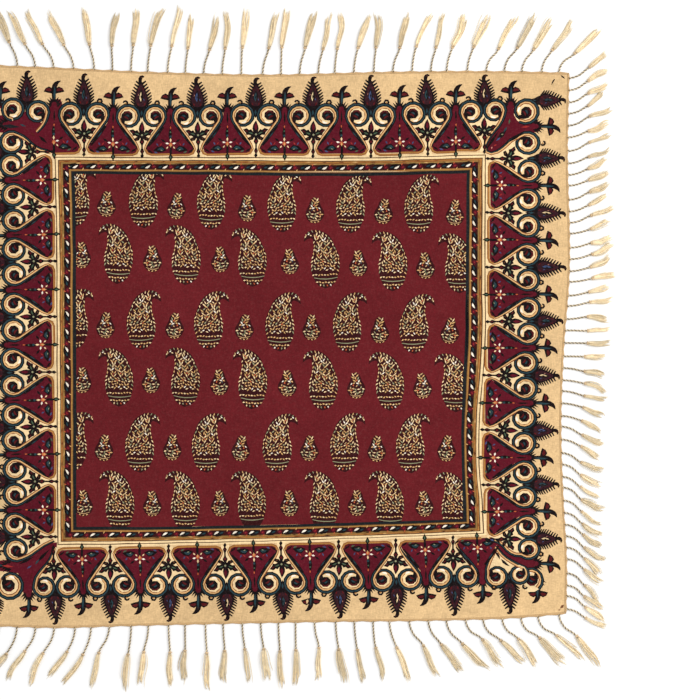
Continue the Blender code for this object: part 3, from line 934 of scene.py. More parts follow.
# The field's rows: the way the leaves' tips point, how high the row is at its left and right ends, how far
# the small leaves hang lower, and the places of the large and the small leaves
ROWS = [
    (1, 151.0, 141.5, -7.6, (-194.0, -126.3, -58.5, 12.4, 81.2, 148.8),
     (-163.0, -93.4, -22.6, 45.6, 113.8, 185.0)),
    (-1, 95.0, 84.5, -3.4, (-150.5, -83.5, -17.5, 56.0, 123.5, 189.5),
     (-187.2, -116.6, -49.4, 20.4, 89.4, 155.8)),
    (1, 28.4, 22.6, -5.6, (-196.0, -128.2, -61.0, 10.0, 77.6, 144.6),
     (-164.0, -94.6, -25.4, 41.6, 110.4, 180.4)),
    (-1, -28.6, -35.4, -3.4, (-150.5, -83.5, -16.5, 53.6, 120.6, 186.5),
     (-187.2, -118.2, -49.6, 17.8, 86.6, 153.4)),
    (1, -95.0, -96.0, -5.1, (-197.0, -130.2, -63.4, 7.8, 74.6, 140.6),
     (-165.8, -97.4, -28.4, 39.6, 106.6, 177.4)),
    (-1, -152.6, -153.4, -2.8, (-149.6, -84.4, -17.4, 55.2, 119.8, 186.4),
     (-185.4, -117.4, -49.4, 20.4, 87.6, 154.6)),
]
ROW_ENDS = (-195, 190)
# The field reaches a little way under the guard band
FIELD_SIZE = 1.01
LARGE_SEED, SMALL_SEED, FIELD_SEED = 21, 8, 3
LACE_DYES = ("cream", "cream", "white", "cream", "peach", "pale_ochre", "peach", "sage", "sand")
SPOT_DYES = ("orange", "black", "teal", "rust", "bright_red", "green", "black", "rust")


def inside(outline, x, y):
    """Whether a point lies inside an outline."""
    result = False
    for (x1, y1), (x2, y2) in zip(outline, outline[1:] + outline[:1]):
        if (y1 > y) != (y2 > y) and x < x1 + (y - y1) / (y2 - y1) * (x2 - x1):
            result = not result
    return result


def rim_dabs(line, lean, places, rng):
    """Slanting dabs along a leaf's rim, as (dye, outline)."""
    shapes = []
    length = np.linalg.norm(np.diff(np.array(line), axis=0), axis=1).sum()
    count = int(length / RIM_SPACING)
    for x, y in along_line(line, (np.arange(count) + 0.5) / count):
        places.append((x, y))
        turn = lean + rng.uniform(-30, 30)
        dye = rng.choice(LACE_DYES)
        shapes.append((dye, kite((x, y), turn, rng.uniform(3.0, 4.4), rng.uniform(1.1, 1.5))))
    return shapes


def lace(outline, places, rng):
    """A leaf's rosettes of dabs, as (dye, outline), with no two dabs in the same place."""
    shapes = []
    rows = np.arange(-16, 30, ROSETTE_SPACING * 0.87)
    for row, y in enumerate(rows):
        for x in np.arange(-20, 20, ROSETTE_SPACING) + (row % 2) * ROSETTE_SPACING / 2:
            place = (x + rng.uniform(-0.7, 0.7), y + rng.uniform(-0.7, 0.7))
            if inside(outline, *place):
                shapes += rosette(place, places, rng)
    return shapes


def rosette(place, places, rng):
    """Five dabs round a spot of colour, apart from those that would cover a dab printed before.

    High in a leaf the dabs are long and stand like the barbs of a feather.
    """
    first = rng.uniform(0, 72)
    feathery = place[1] > 1
    shapes = []
    for k in range(5):
        turn = math.radians(first + 72 * k)
        reach = rng.uniform(2.0, 2.6)
        middle = (place[0] + reach * math.cos(turn), place[1] + reach * math.sin(turn))
        if min((math.dist(middle, other) for other in places), default=9) < DAB_ROOM:
            continue
        places.append(middle)
        if feathery:
            barb = (52 if middle[0] > place[0] else 128) + rng.uniform(-22, 22)
            length, width = rng.uniform(3.8, 5.4), rng.uniform(1.1, 1.6)
        else:
            barb = math.degrees(turn) + rng.uniform(-35, 100)
            length, width = rng.uniform(2.8, 4.2), rng.uniform(1.2, 1.7)
        shapes.append((rng.choice(LACE_DYES), kite(middle, barb, length, width)))
    if rng.random() < 0.7:
        shapes.append((rng.choice(SPOT_DYES), kite(place, rng.uniform(0, 90), 2.2, 1.6)))
    return shapes


def large_block():
    """The shapes of the large leaf's block, in the order in which they are printed."""
    rng = random.Random(LARGE_SEED)
    shapes, places = [], []
    for line, lean in LARGE_RIMS:
        shapes += rim_dabs(line, lean, places, rng)
    shapes += lace(LARGE_LACE, places, rng)
    for dye, x, y, turn in (("white", 17.6, 26.2, -30), ("cream", 15.4, 24.8, 20),
                            ("cream", 21.4, 23.4, -60)):
        shapes.append((dye, kite((x, y), turn, 2.8, 1.4)))
    for x in np.arange(-13.4, 12.8, 3.2):
        place = (x + 1.2, -16.9 + abs(x) * 0.05 + rng.uniform(-0.3, 0.3))
        shapes.append((rng.choice(LACE_DYES), kite(place, rng.uniform(-40, 40), 3.1, 1.5)))
    shapes.append(("sage", stroke([(-13.2, -19.6), (0, -21.0), (12.8, -19.4)], [0.6, 0.9, 0.6], 5)))
    for x in np.arange(-11.0, 9.8, 3.2):
        place = (x + 1.2, -24.6 + abs(x) * 0.06 + rng.uniform(-0.4, 0.4))
        shapes.append((rng.choice(LACE_DYES), kite(place, rng.uniform(-30, 60), 3.1, 1.6)))
    for x, dye in ((-5.4, "white"), (-1.6, "orange"), (2.4, "sage"), (6, "cream")):
        shapes.append((dye, kite((x, -27.8 + abs(x) * 0.12), 70 + 4 * x, 2.6, 1.5)))
    return shapes


def small_block():
    """The shapes of the small leaf's block: rosettes over a thin bowl, and a row of dabs under it."""
    rng = random.Random(SMALL_SEED)
    shapes, places = [], []
    for place in SMALL_ROSETTES:
        shapes += rosette(place, places, rng)
    shapes.append(("sand", stroke([(-6.2, -9.0), (0, -10.8), (6.2, -9.0)], [0.4, 0.8, 0.4], 4)))
    for x in (-3.4, 0.0, 3.4):
        dye = rng.choice(LACE_DYES)
        shapes.append((dye, kite((x, -12.4 + abs(x) * 0.2), rng.uniform(-40, 40), 2.6, 1.2)))
    return shapes


def stamp_leaf(cloth_print, block, outline, shapes, field):
    """Prints a leaf's dark ground and its dabs, apart from what the stripes round the field would cover."""
    cloth_print.stamp("lace_black", block, np.array(outline) * LEAF_GROUND, soaks=True)
    for dye, dab in shapes:
        if inside(field, *block(dab).mean(axis=0)):
            cloth_print.stamp(dye, block, dab)


def print_field(cloth_print):
    """The red ground, and leaves in rows whose tips point right and left by turns."""
    corners = [INNER_CORNERS[first] for first, _ in SIDES.values()]
    cloth_print.stamp("red", on_cloth, np.array(corners) * FIELD_SIZE, soaks=True)
    large, small = large_block(), small_block()
    rng = random.Random(FIELD_SEED)
    for hand, left_end, right_end, drop, large_places, small_places in ROWS:
        for x in large_places:
            y = np.interp(x, ROW_ENDS, (left_end, right_end)) + rng.uniform(-0.8, 0.8)
            block = pressed(x, y, rng.uniform(-1.5, 1.5), hand * LARGE_SIZE[0], LARGE_SIZE[1])
            stamp_leaf(cloth_print, block, LARGE_LEAF, large, corners)
        for x in small_places:
            y = np.interp(x, ROW_ENDS, (left_end, right_end)) + drop + rng.uniform(-0.8, 0.8)
            block = pressed(x, y, rng.uniform(-3, 3), hand * SMALL_SIZE[0], SMALL_SIZE[1])
            stamp_leaf(cloth_print, block, SMALL_LEAF, small, corners)


# Stray dye and a stain near the right-hand corners
MARKS = [
    ("black", stroke([(281.8, 262.8), (283.0, 266.0), (284.8, 268.6)], [0.3, 1.6, 1.2], 4)),
    ("black", stroke([(291.0, 273.0), (293.0, 270.8), (295.0, 269.2)], [0.6, 1.8, 0.4], 4)),
    ("stain", kite((293.0, -258.6), 40, 6.0, 3.0)), ("stain", kite((290.0, -262.0), 10, 3.0, 1.4)),
]


def linear(channel):
    """A colour's channel out of 255, as the renderer takes it."""
    channel /= 255
    return channel / 12.92 if channel <= 0.04045 else ((channel + 0.055) / 1.055) ** 2.4


def dye_colour(dye, strength=1.0):
    return np.array([linear(channel) * strength for channel in DYES[dye]] + [1.0])


# Making the pieces

OUTLINE_STEP = 4.2
GRID_STEP = 15.0
BACK_GRID_STEP = 30.0
# How far in from the sheet's edge the points of the plain grid keep
GRID_INSET = 7
TOUCH = 1e-4


def cloth_outline():
    """The sheet's edge, corner by corner, in millimetres."""
    inset = EDGING_WIDTH + EDGING_GAP
    points = []
    for side, turned in (("bottom", False), ("right", True), ("top", True), ("left", False)):
        length = WIDTH if side in ("top", "bottom") else HEIGHT
        count = int(length / MM / OUTLINE_STEP)
        for k in range(count):
            share = k / count
            points.append(side_point(side, 1 - share if turned else share, inset))
    return np.array(points) / MM


def grid_points(outline, step):
    """Points evenly spread inside the cloth's edge."""
    low, high = outline.min(axis=0), outline.max(axis=0)
    margin = step * 0.5
    found = []
    for row, y in enumerate(np.arange(low[1] + margin, high[1] - margin, step * 0.87)):
        for x in np.arange(low[0] + margin, high[0] - margin, step) + (row % 2) * step / 2:
            found.append((x, y))
    return np.array(found)


def signed_area(outline):
    x, y = outline.T
    return float(np.dot(x, np.roll(y, -1)) - np.dot(y, np.roll(x, -1))) / 2


def cut_along(outline, shapes, step):
    """Cuts the cloth along each shape's edge: its points, triangles, the last shape on each, its edge."""
    points = [outline]
    faces = [list(range(len(outline)))]
    used = len(outline)
    boxes = [(*outline.min(axis=0), *outline.max(axis=0))]
    for shape in shapes:
        ring = shape if signed_area(shape) > 0 else shape[::-1]
        points.append(ring)
        faces.append(list(range(used, used + len(ring))))
        used += len(ring)
        boxes.append((*ring.min(axis=0), *ring.max(axis=0)))
    grid = grid_points(outline, step)
    low, high = outline.min(axis=0) + GRID_INSET, outline.max(axis=0) - GRID_INSET
    grid = grid[np.all((grid > low) & (grid < high), axis=1)]
    every = [tuple(point) for point in np.vstack(points + [grid])]
    verts, _, triangles, origins, _, sources = delaunay_2d_cdt(every, [], faces, 1, TOUCH, True)
    flat = np.array([tuple(vertex) for vertex in verts])
    on_sheet = [i for i, source in enumerate(sources) if 0 in source]
    triangles, sources = [triangles[i] for i in on_sheet], [sources[i] for i in on_sheet]
    landed = {origin: i for i, group in enumerate(origins) for origin in group if origin < len(outline)}
    edge = [landed[i] for i in range(len(outline))]
    triangles = np.array(triangles)
    middles = flat[triangles].mean(axis=1)
    last = np.zeros(len(triangles), int)
    for i, (source, (x, y)) in enumerate(zip(sources, middles)):
        for face in sorted(source, reverse=True):
            x1, y1, x2, y2 = boxes[face]
            if x1 <= x <= x2 and y1 <= y <= y2:
                last[i] = face
                break
    return flat, triangles, last, edge


def new_mesh(name, vertices, faces, colours, uvs, material, normals=None, sharp=()):
    """An object from arrays, with a colour, a map place and a normal for each corner of its faces.

    Edges between two of the points named in sharp are not smoothed over.
    """
    mesh = bpy.data.meshes.new(name)
    mesh.from_pydata(vertices.tolist(), [], faces)
    mesh.update()
    paint = mesh.color_attributes.new(name="dye", type="FLOAT_COLOR", domain="CORNER")
    paint.data.foreach_set("color", np.asarray(colours, float).ravel())
    layer = mesh.uv_layers.new(name="OFBake")
    layer.data.foreach_set("uv", np.asarray(uvs, float).ravel())
    mesh.shade_smooth()
    if sharp:
        corners = np.zeros(len(mesh.edges) * 2, int)
        mesh.edges.foreach_get("vertices", corners)
        marked = [(int(a) in sharp and int(b) in sharp) for a, b in corners.reshape(-1, 2)]
        mesh.edges.foreach_set("use_edge_sharp", marked)
    if normals is not None:
        mesh.normals_split_custom_set(np.asarray(normals, float))
    mesh.materials.append(material)
    made = bpy.data.objects.new(name, mesh)
    bpy.context.scene.collection.objects.link(made)
    return made


# Where the front, the back and the thin edge lie on the map
MAP_EDGE = 0.004
FRONT_MAP = 0.80
BACK_MAP = 0.24
WALL_MAP_START = 0.82
WALL_MAP_STEP = 0.03
WALL_MAP_WIDTH = 0.008
WALL_MAP_FOOT, WALL_MAP_TOP = 0.01, 0.98
# How much of a dye shows through on the back
SOAKED = 0.5


def make_cloth(cloth_print, material):
    """The sheet: its printed face, its paler back with what soaks through, and its thin edge."""
    outline = cloth_outline()
    front, front_triangles, front_last, front_loop = cut_along(outline, cloth_print.outlines, GRID_STEP)
    soaked = [shape for shape, soaks in zip(cloth_print.outlines, cloth_print.soaks) if soaks]
    soaked_dyes = [dye for dye, soaks in zip(cloth_print.dyes, cloth_print.soaks) if soaks]
    back, back_triangles, back_last, back_loop = cut_along(outline, soaked, BACK_GRID_STEP)

    ground = dye_colour("ground")
    front_dyes = np.array([ground] + [dye_colour(*dye) for dye in cloth_print.dyes])
    soaked_colours = [dye_colour(*dye) * SOAKED + ground * (1 - SOAKED) for dye in soaked_dyes]
    back_dyes = np.array([ground] + soaked_colours)

    z_front, slope_x, slope_y = heights(front * MM)
    z_back, back_slope_x, back_slope_y = heights(back * MM)
    vertices = np.vstack([np.column_stack([front * MM, z_front + SHEET_THICKNESS]),
                          np.column_stack([back * MM, z_back])])
    up = np.column_stack([-slope_x, -slope_y, np.ones(len(slope_x))])
    up /= np.linalg.norm(up, axis=1)[:, None]
    down = np.column_stack([back_slope_x, back_slope_y, -np.ones(len(back_slope_x))])
    down /= np.linalg.norm(down, axis=1)[:, None]

    shift = len(front)
    back_triangles = back_triangles[:, ::-1]
    wall = []
    for i in range(len(outline)):
        j = (i + 1) % len(outline)
        wall.append([back_loop[i] + shift, back_loop[j] + shift, front_loop[j], front_loop[i]])

    low, high = outline.min(axis=0), outline.max(axis=0)
    size = high - low
    front_uv = (front - low) / size[0] * FRONT_MAP + MAP_EDGE
    back_uv = (back - low) / size[1] * BACK_MAP + (MAP_EDGE, 1 - MAP_EDGE - BACK_MAP)
    wall_uv, wall_normals = [], []
    run = 0.0
    column = 0
    for i in range(len(outline)):
        start, end = outline[i], outline[(i + 1) % len(outline)]
        step = np.hypot(*(end - start)) / size[0] * FRONT_MAP
        if run + step > WALL_MAP_TOP:
            run, column = 0.0, column + 1
        u, v = WALL_MAP_START + column * WALL_MAP_STEP, WALL_MAP_FOOT + run
        wall_uv += [(u, v), (u, v + step), (u + WALL_MAP_WIDTH, v + step), (u + WALL_MAP_WIDTH, v)]
        run += step
        out = np.array([end[1] - start[1], start[0] - end[0], 0]) / np.hypot(*(end - start))
        wall_normals += [out] * 4

    faces = front_triangles.tolist() + (back_triangles + shift).tolist() + wall
    colours = np.vstack([np.repeat(front_dyes[front_last], 3, axis=0),
                         np.repeat(back_dyes[back_last], 3, axis=0),
                         np.repeat([ground], 4 * len(wall), axis=0)])
    uvs = np.vstack([front_uv[front_triangles.ravel()], back_uv[back_triangles.ravel()], wall_uv])
    normals = np.vstack([up[front_triangles.ravel()], down[back_triangles.ravel()], wall_normals])
    edge = set(front_loop) | {i + shift for i in back_loop}
    return new_mesh("printed_cloth", vertices, faces, colours, uvs, material, normals, edge)


# The fringe

PLIES = 2
PLY_RADIUS = 0.52 * MM
PLY_OFFSET = 0.44 * MM
PLY_PITCH = 3.0 * MM
THREADS = 20
LOCKS = 4
THREAD_RADIUS = 0.36 * MM
# How deep a cord starts in the edging, how high it lies, and its points in each turn
ROOT_DEPTH = 1.4 * MM
CORD_HEIGHT = 1.05 * MM
PLY_STEPS = 7
# The part of a strand's knot and first tuft that the knot takes up, its height, and its radii along it
KNOT_SPAN = (0.42, 0.99)
KNOT_HEIGHT = 1.6 * MM
KNOT_RADII = np.array([1.2, 1.75, 2.0, 1.95, 1.6, 1.2]) * MM
# The share of threads that stray, and the least and the most of the tuft's length that threads reach
STRAY_SHARE = 0.12
STRAY_REACH = (0.6, 1.04)
THREAD_REACH = (0.9, 1.03)
LOCK_REACH = (0.82, 1.03)
# How far a tuft bends, kinks and curls aside, how far a lock swings and a thread waves, in millimetres
TUFT_BEND = 3.2
TUFT_KINK = 2.0
TUFT_CURL = 1.5
LOCK_SWING = (0.3, 1.2)
THREAD_WAVE = (0.1, 0.4)
# How wide a tuft opens, the turns and starts of the locks' swings, and the turns of the threads' waves
TUFT_OPENING = (0.6, 1.1)
LOCK_TURNS = (4, 8)
LOCK_STARTS = (0, 6.3)
WAVE_TURNS = (6, 12)
# A tuft's height at shares of its length, in millimetres, how far threads lie off it, and their thickness
TUFT_RISE = ((0, 0.15, 0.6, 1), (1.6, 1.7, 1.1, 0.6))
THREAD_LAYER = 0.8
LAYER_SHARES = ((0, 0.4, 1), (0.9, 1, 0.5))
THREAD_TAPER = ((0, 0.7, 1.0), (1.1, 0.95, 0.5))
# The two plies of a cord are one yarn: the first is painted lighter as light on the twist, the second
# painted darker as painted shade between the plies
CORD_LIT_AND_SHADED_PLIES = ((222, 204, 170), (116, 100, 76))
KNOT_COLOUR = (206, 178, 140)
THREAD_COLOUR = (250, 230, 192)
EDGE_COLOUR = (198, 162, 116)
# How far the edging's outer side draws in between two strands, in millimetres
EDGE_HOLLOW = 0.9
EDGE_STEPS = 4
# The edging's section: how far in from its outer side each point is, and how high, in millimetres
EDGE_PROFILE = [(0.0, 0.1), (0.15, 0.6), (0.7, 0.95), (1.5, 1.0), (2.2, 0.86), (2.6, 0.7), (2.6, 0.05)]

# The map of a fringe: threads in rows of cells, the edging in a strip over them, its two ends beside it
CELL_COLUMNS = 30
CELL_SPAN = 0.95
CELL_FILL = (0.92, 0.88)
EDGE_SPAN = (0.955, 0.995)
EDGE_MAP_START, EDGE_MAP_LENGTH = 0.004, 0.96
END_PLACES = (0.972, 0.985)
END_SIZE = 0.005


class Tubes:
    """Round threads, gathered into one mesh."""

    def __init__(self, columns, rows):
        self.vertices, self.faces, self.colours, self.uvs = [], [], [], []
        self.count = 0
        self.cells = 0
        self.columns, self.rows = columns, rows

    def cell(self):
        """The next free cell of the map."""
        column, row = self.cells % self.columns, self.cells // self.columns
        self.cells += 1
        wide, tall = 1 / self.columns, CELL_SPAN / self.rows
        across, along = wide * CELL_FILL[0], tall * CELL_FILL[1]
        return column * wide + (wide - across) / 2, row * tall + (tall - along) / 2, across, along

    def add(self, path, radii, sides, colour, flat=1.0, spin=0.0):
        """A tube along a path, closed to a point at both ends; radii are for the points between them."""
        path = np.asarray(path, float)
        runs = np.gradient(path, axis=0)
        runs /= np.linalg.norm(runs, axis=1)[:, None]
        across = np.cross(runs, (0.0, 0.0, 1.0))
        across /= np.linalg.norm(across, axis=1)[:, None]
        over = np.cross(across, runs)
        rings = len(path) - 2
        angles = np.arange(sides) * 2 * math.pi / sides + spin
        cosines, sines = np.cos(angles)[None, :, None], np.sin(angles)[None, :, None] * flat
        ring = across[1:-1, None, :] * cosines + over[1:-1, None, :] * sines
        ring = path[1:-1, None, :] + ring * np.broadcast_to(radii, (rings,))[:, None, None]
        start = self.count
        self.vertices.append(np.vstack([path[:1], ring.reshape(-1, 3), path[-1:]]))
        self.count += rings * sides + 2
        tip = self.count - 1
        u0, v0, wide, tall = self.cell()
        uvs = []
        for j in range(sides):
            k = (j + 1) % sides
            low, high = v0 + tall * j / sides, v0 + tall * (j + 1) / sides
            us = [u0 + wide * (i + 1) / (rings + 1) for i in range(-1, rings + 1)]
            self.faces.append((start, start + 1 + k, start + 1 + j))
            uvs += [(us[0], (low + high) / 2), (us[1], high), (us[1], low)]
            for i in range(rings - 1):
                a, b = start + 1 + i * sides, start + 1 + (i + 1) * sides
                self.faces.append((a + j, a + k, b + k, b + j))
                uvs += [(us[i + 1], low), (us[i + 1], high), (us[i + 2], high), (us[i + 2], low)]
            a = start + 1 + (rings - 1) * sides
            self.faces.append((a + j, a + k, tip))
            uvs += [(us[rings], low), (us[rings], high), (us[rings + 1], (low + high) / 2)]
        self.uvs += uvs
        self.colours += [colour] * len(uvs)

    def strip(self, rings, colour, span):
        """An edging between two ends, from rings of points of the same count."""
        start = self.count
        rings = np.array(rings)
        count, sides = rings.shape[:2]
        self.vertices.append(rings.reshape(-1, 3))
        self.count += count * sides
        low, high = span
        for i in range(count - 1):
            for j in range(sides):
                k = (j + 1) % sides
                a, b = start + i * sides, start + (i + 1) * sides
                self.faces.append((a + j, a + k, b + k, b + j))
                u1, u2 = (EDGE_MAP_START + EDGE_MAP_LENGTH * end / (count - 1) for end in (i, i + 1))
                v1, v2 = low + (high - low) * j / sides, low + (high - low) * (j + 1) / sides
                self.uvs += [(u1, v1), (u1, v2), (u2, v2), (u2, v1)]
                self.colours += [colour] * 4
        first = list(range(start, start + sides))[::-1]
        last = list(range(start + (count - 1) * sides, start + count * sides))
        middle = np.array([[place, (low + high) / 2] for place in END_PLACES])
        for end, place in zip((first, last), middle):
            self.faces.append(tuple(end))
            self.uvs += [tuple(point) for point in place + disc((0, 0), END_SIZE, sides)]
            self.colours += [colour] * sides


def shade(colour, strength):
    return [linear(channel) * strength for channel in colour] + [1.0]


def side_axes(side):
    """The way straight out from a side, and the way that a positive lean goes."""
    return {"top": ((0, 1), (1, 0)), "bottom": ((0, -1), (1, 0)),
            "left": ((-1, 0), (0, 1)), "right": ((1, 0), (0, 1))}[side]


def strand_shares(side, rng):
    count = FRINGES[side]["strands"]
    return [(k + 0.5 + rng.uniform(-ROOT_JITTER, ROOT_JITTER)) / count for k in range(count)]


def strand_line(side, share, rng):
    """The strand's middle line on the surface, from its root on: the part's own points."""
    fringe = FRINGES[side]
    lean = smooth_value(fringe["lean"], share)
    cord_lean = lean + rng.uniform(-fringe["jitter"], fringe["jitter"])
    tuft_lean = lean + rng.uniform(-fringe["jitter"], fringe["jitter"])
    stretch = 1 + rng.uniform(-LENGTH_JITTER, LENGTH_JITTER)
    leans = {"cord": cord_lean, "knot": (cord_lean + tuft_lean) / 2, "tuft": tuft_lean}
    lengths = {"cord": fringe["cord"] * stretch, "knot": KNOT_LENGTH, "tuft": fringe["tuft"] * stretch}
    outward, sideways = np.array(side_axes(side), float)
    point = np.array(side_point(side, share, 0.0))
    line = [point]
    for part, turned in TURNS:
        heading = math.radians(leans[part] * turned)
        point = point + (outward * math.cos(heading) + sideways * math.sin(heading)) * lengths[part] / 2
        line.append(point)
    return np.array(line)


def make_fringe(side, material, rng, looks):
    """A side's rolled edging, with its row of cords, knots and tufts."""
    shares = strand_shares(side, rng)
    lines = [strand_line(side, share, rng) for share in shares]
    threads = len(shares) * (PLIES + 1 + THREADS)
    tubes = Tubes(CELL_COLUMNS, math.ceil(threads / CELL_COLUMNS))
    length = WIDTH if side in ("top", "bottom") else HEIGHT
    end = MITRE_PARTING / length if side in ("top", "bottom") else 0.0
    rings = []
    for share in np.linspace(end, 1 - end, len(shares) * EDGE_STEPS + 1):
        hollow = EDGE_HOLLOW * (0.5 + 0.5 * math.cos(share * len(shares) * 2 * math.pi))
        insets = [inset + hollow * (1 - inset * MM / EDGING_WIDTH) for inset, _ in EDGE_PROFILE]
        rings.append([(*side_point(side, share, inset * MM), rise * MM)
                      for inset, (_, rise) in zip(insets, EDGE_PROFILE)])
    if side in ("bottom", "left"):
        rings = rings[::-1]
    tubes.strip(rings, shade(EDGE_COLOUR, 1.0), EDGE_SPAN)
    for line in lines:
        add_strand(tubes, side, line, looks)
    vertices = np.vstack(tubes.vertices)
    return new_mesh(side + "_fringe", vertices, tubes.faces, tubes.colours, tubes.uvs, material)


def along_line(points, shares):
    """Points at even shares of the way along a smooth line through points."""
    points = np.asarray(points, float)
    lengths = np.concatenate([[0], np.cumsum(np.linalg.norm(np.diff(points, axis=0), axis=1))])
    slopes = np.gradient(points, lengths, axis=0)
    places = np.clip(shares, 0, 1) * lengths[-1]
    return np.array([smooth_at(lengths, points, slopes, place) for place in places])


def add_strand(tubes, side, line, looks):
    """One strand: a two-ply cord, a knot and a tuft of loose threads, on the part's line."""
    fringe = FRINGES[side]
    outward = np.array(side_axes(side)[0], float)
    cord = np.vstack([line[0] - outward * ROOT_DEPTH, line[:4]])
    turns = fringe["cord"] / PLY_PITCH
    steps = int(turns * PLY_STEPS) + 4
    middle = along_line(cord, np.linspace(0, 1, steps))
    across = left_normals(middle)
    phase = looks.uniform(0, 2 * math.pi)
    tint = looks.uniform(0.9, 1.12)
    for ply in range(PLIES):
        angle = phase + ply * math.pi + np.linspace(0, turns * 2 * math.pi, steps)
        path = np.column_stack([middle + across * (PLY_OFFSET * np.cos(angle))[:, None],
                                CORD_HEIGHT + PLY_OFFSET * np.sin(angle)])
        path[:, 2] = np.maximum(path[:, 2], PLY_RADIUS)
        # Each ply takes its painted tone, the lit one or the painted shade, so that the twist shows
        tubes.add(path, PLY_RADIUS, 5, shade(CORD_LIT_AND_SHADED_PLIES[ply], tint))
    knot = along_line(line[2:5], np.linspace(*KNOT_SPAN, len(KNOT_RADII) + 2))
    path = np.column_stack([knot, np.full(len(knot), KNOT_HEIGHT)])
    tubes.add(path, KNOT_RADII, 8, shade(KNOT_COLOUR, tint), 0.8)
    add_tuft(tubes, fringe, line[3:], tint, looks)


def add_tuft(tubes, fringe, line, tint, looks):
    """Loose threads in a few locks that part from each other towards their tips."""
    bend = looks.gauss(0, TUFT_BEND) * MM
    kink = looks.uniform(-TUFT_KINK, TUFT_KINK) * MM
    opening = looks.uniform(*TUFT_OPENING)
    curl = looks.uniform(-TUFT_CURL, TUFT_CURL) * MM
    length = fringe["tuft"]
    locks = [(looks.uniform(*LOCK_SWING) * MM, looks.uniform(*LOCK_TURNS), looks.uniform(*LOCK_STARTS),
              looks.uniform(*LOCK_REACH)) for _ in range(LOCKS)]
    for thread in range(THREADS):
        spot = (thread + 0.5) / THREADS * 2 - 1
        swing, turns, start, lock_reach = locks[thread * LOCKS // THREADS]
        stray = looks.random() < STRAY_SHARE
        reach = looks.uniform(*STRAY_REACH) if stray else lock_reach * looks.uniform(*THREAD_REACH)
        shares = np.linspace(0, reach, 9)
        middle = along_line(line, np.minimum(shares, 1.0))
        over = np.maximum(shares - 1.0, 0)[:, None] * length
        last_run = line[-1] - line[-2]
        middle = middle + last_run / np.linalg.norm(last_run) * over
        across = left_normals(middle)
        width = 0.5 * fringe["spread"] * (0.26 + opening * 1.25 * shares ** 0.5 * (1 - 0.35 * shares))
        side = spot * width * (1.7 if stray else 1.0)
        wave = swing * np.sin(shares * turns + start) * shares ** 1.2
        ripple = looks.uniform(*THREAD_WAVE) * MM
        wave = wave + ripple * np.sin(shares * looks.uniform(*WAVE_TURNS)) * shares
        common = bend * shares ** 2 + (kink * np.sin(shares * 4.6) + curl * np.sin(shares * 6.5)) * shares
        rise = np.interp(shares, *TUFT_RISE) * MM
        layer = looks.uniform(-THREAD_LAYER, THREAD_LAYER) * MM * np.interp(shares, *LAYER_SHARES)
        z = np.maximum(rise + layer, THREAD_RADIUS * 1.05)
        path = np.column_stack([middle + across * (side + wave + common)[:, None], z])
        radii = THREAD_RADIUS * np.interp(shares[1:-1], *THREAD_TAPER)
        # Threads are painted lighter in the middle of a tuft and darker towards its sides, as painted light
        # and shade across the round tuft; the rest is a random tone per strand and per thread
        strength = tint * looks.uniform(0.86, 1.12) * (1.05 - 0.22 * spot * spot)
        tubes.add(path, radii, 3, shade(THREAD_COLOUR, strength), spin=looks.uniform(0, 2))


# Materials

def new_material(name, roughness, specular):
    material = bpy.data.materials.new(name)
    material.use_nodes = True
    shader = material.node_tree.nodes["Principled BSDF"]
    shader.inputs["Roughness"].default_value = roughness
    shader.inputs["Specular IOR Level"].default_value = specular
    return material, material.node_tree, shader


def add_node(tree, kind, inputs=(), **settings):
    """A shader node; each input is set to a number or a colour, or linked to another node's output."""
    node = tree.nodes.new(kind)
    for name, value in settings.items():
        setattr(node, name, value)
    for name, value in dict(inputs).items():
        if isinstance(value, bpy.types.NodeSocket):
            tree.links.new(value, node.inputs[name])
        else:
            node.inputs[name].default_value = value
    return node


def noise(tree, coordinates, scale, detail=2.0, roughness=0.5):
    inputs = {"Vector": coordinates, "Scale": scale, "Detail": detail, "Roughness": roughness}
    return add_node(tree, "ShaderNodeTexNoise", inputs).outputs["Fac"]


def ranged(tree, value, low, high, start=0.3, end=0.7):
    """A noise between about 0.3 and 0.7 spread over a new range."""
    inputs = {"Value": value, "From Min": start, "From Max": end, "To Min": low, "To Max": high}
    return add_node(tree, "ShaderNodeMapRange", inputs).outputs["Result"]


def times(tree, first, second):
    return add_node(tree, "ShaderNodeMath", {0: first, 1: second}, operation="MULTIPLY").outputs["Value"]


def stretched(tree, coordinates, scale):
    return add_node(tree, "ShaderNodeMapping", {"Vector": coordinates, "Scale": scale}).outputs["Vector"]


def dyed(tree, colour, strength):
    """A colour scaled by a strength."""
    inputs = {0: colour, "Scale": strength}
    return add_node(tree, "ShaderNodeVectorMath", inputs, operation="SCALE").outputs["Vector"]


# The pale fibre ends that show through the dye where a noise is high
FIBRE_RANGE = (0.50, 0.72)
FIBRE_LIGHT = 0.022
FIBRE_TINT = (1.0, 0.52, 0.46)
# How strongly the yarns show in the surface, and how high they stand
YARN_BUMP = 0.35
YARN_HEIGHT = 0.18 * MM


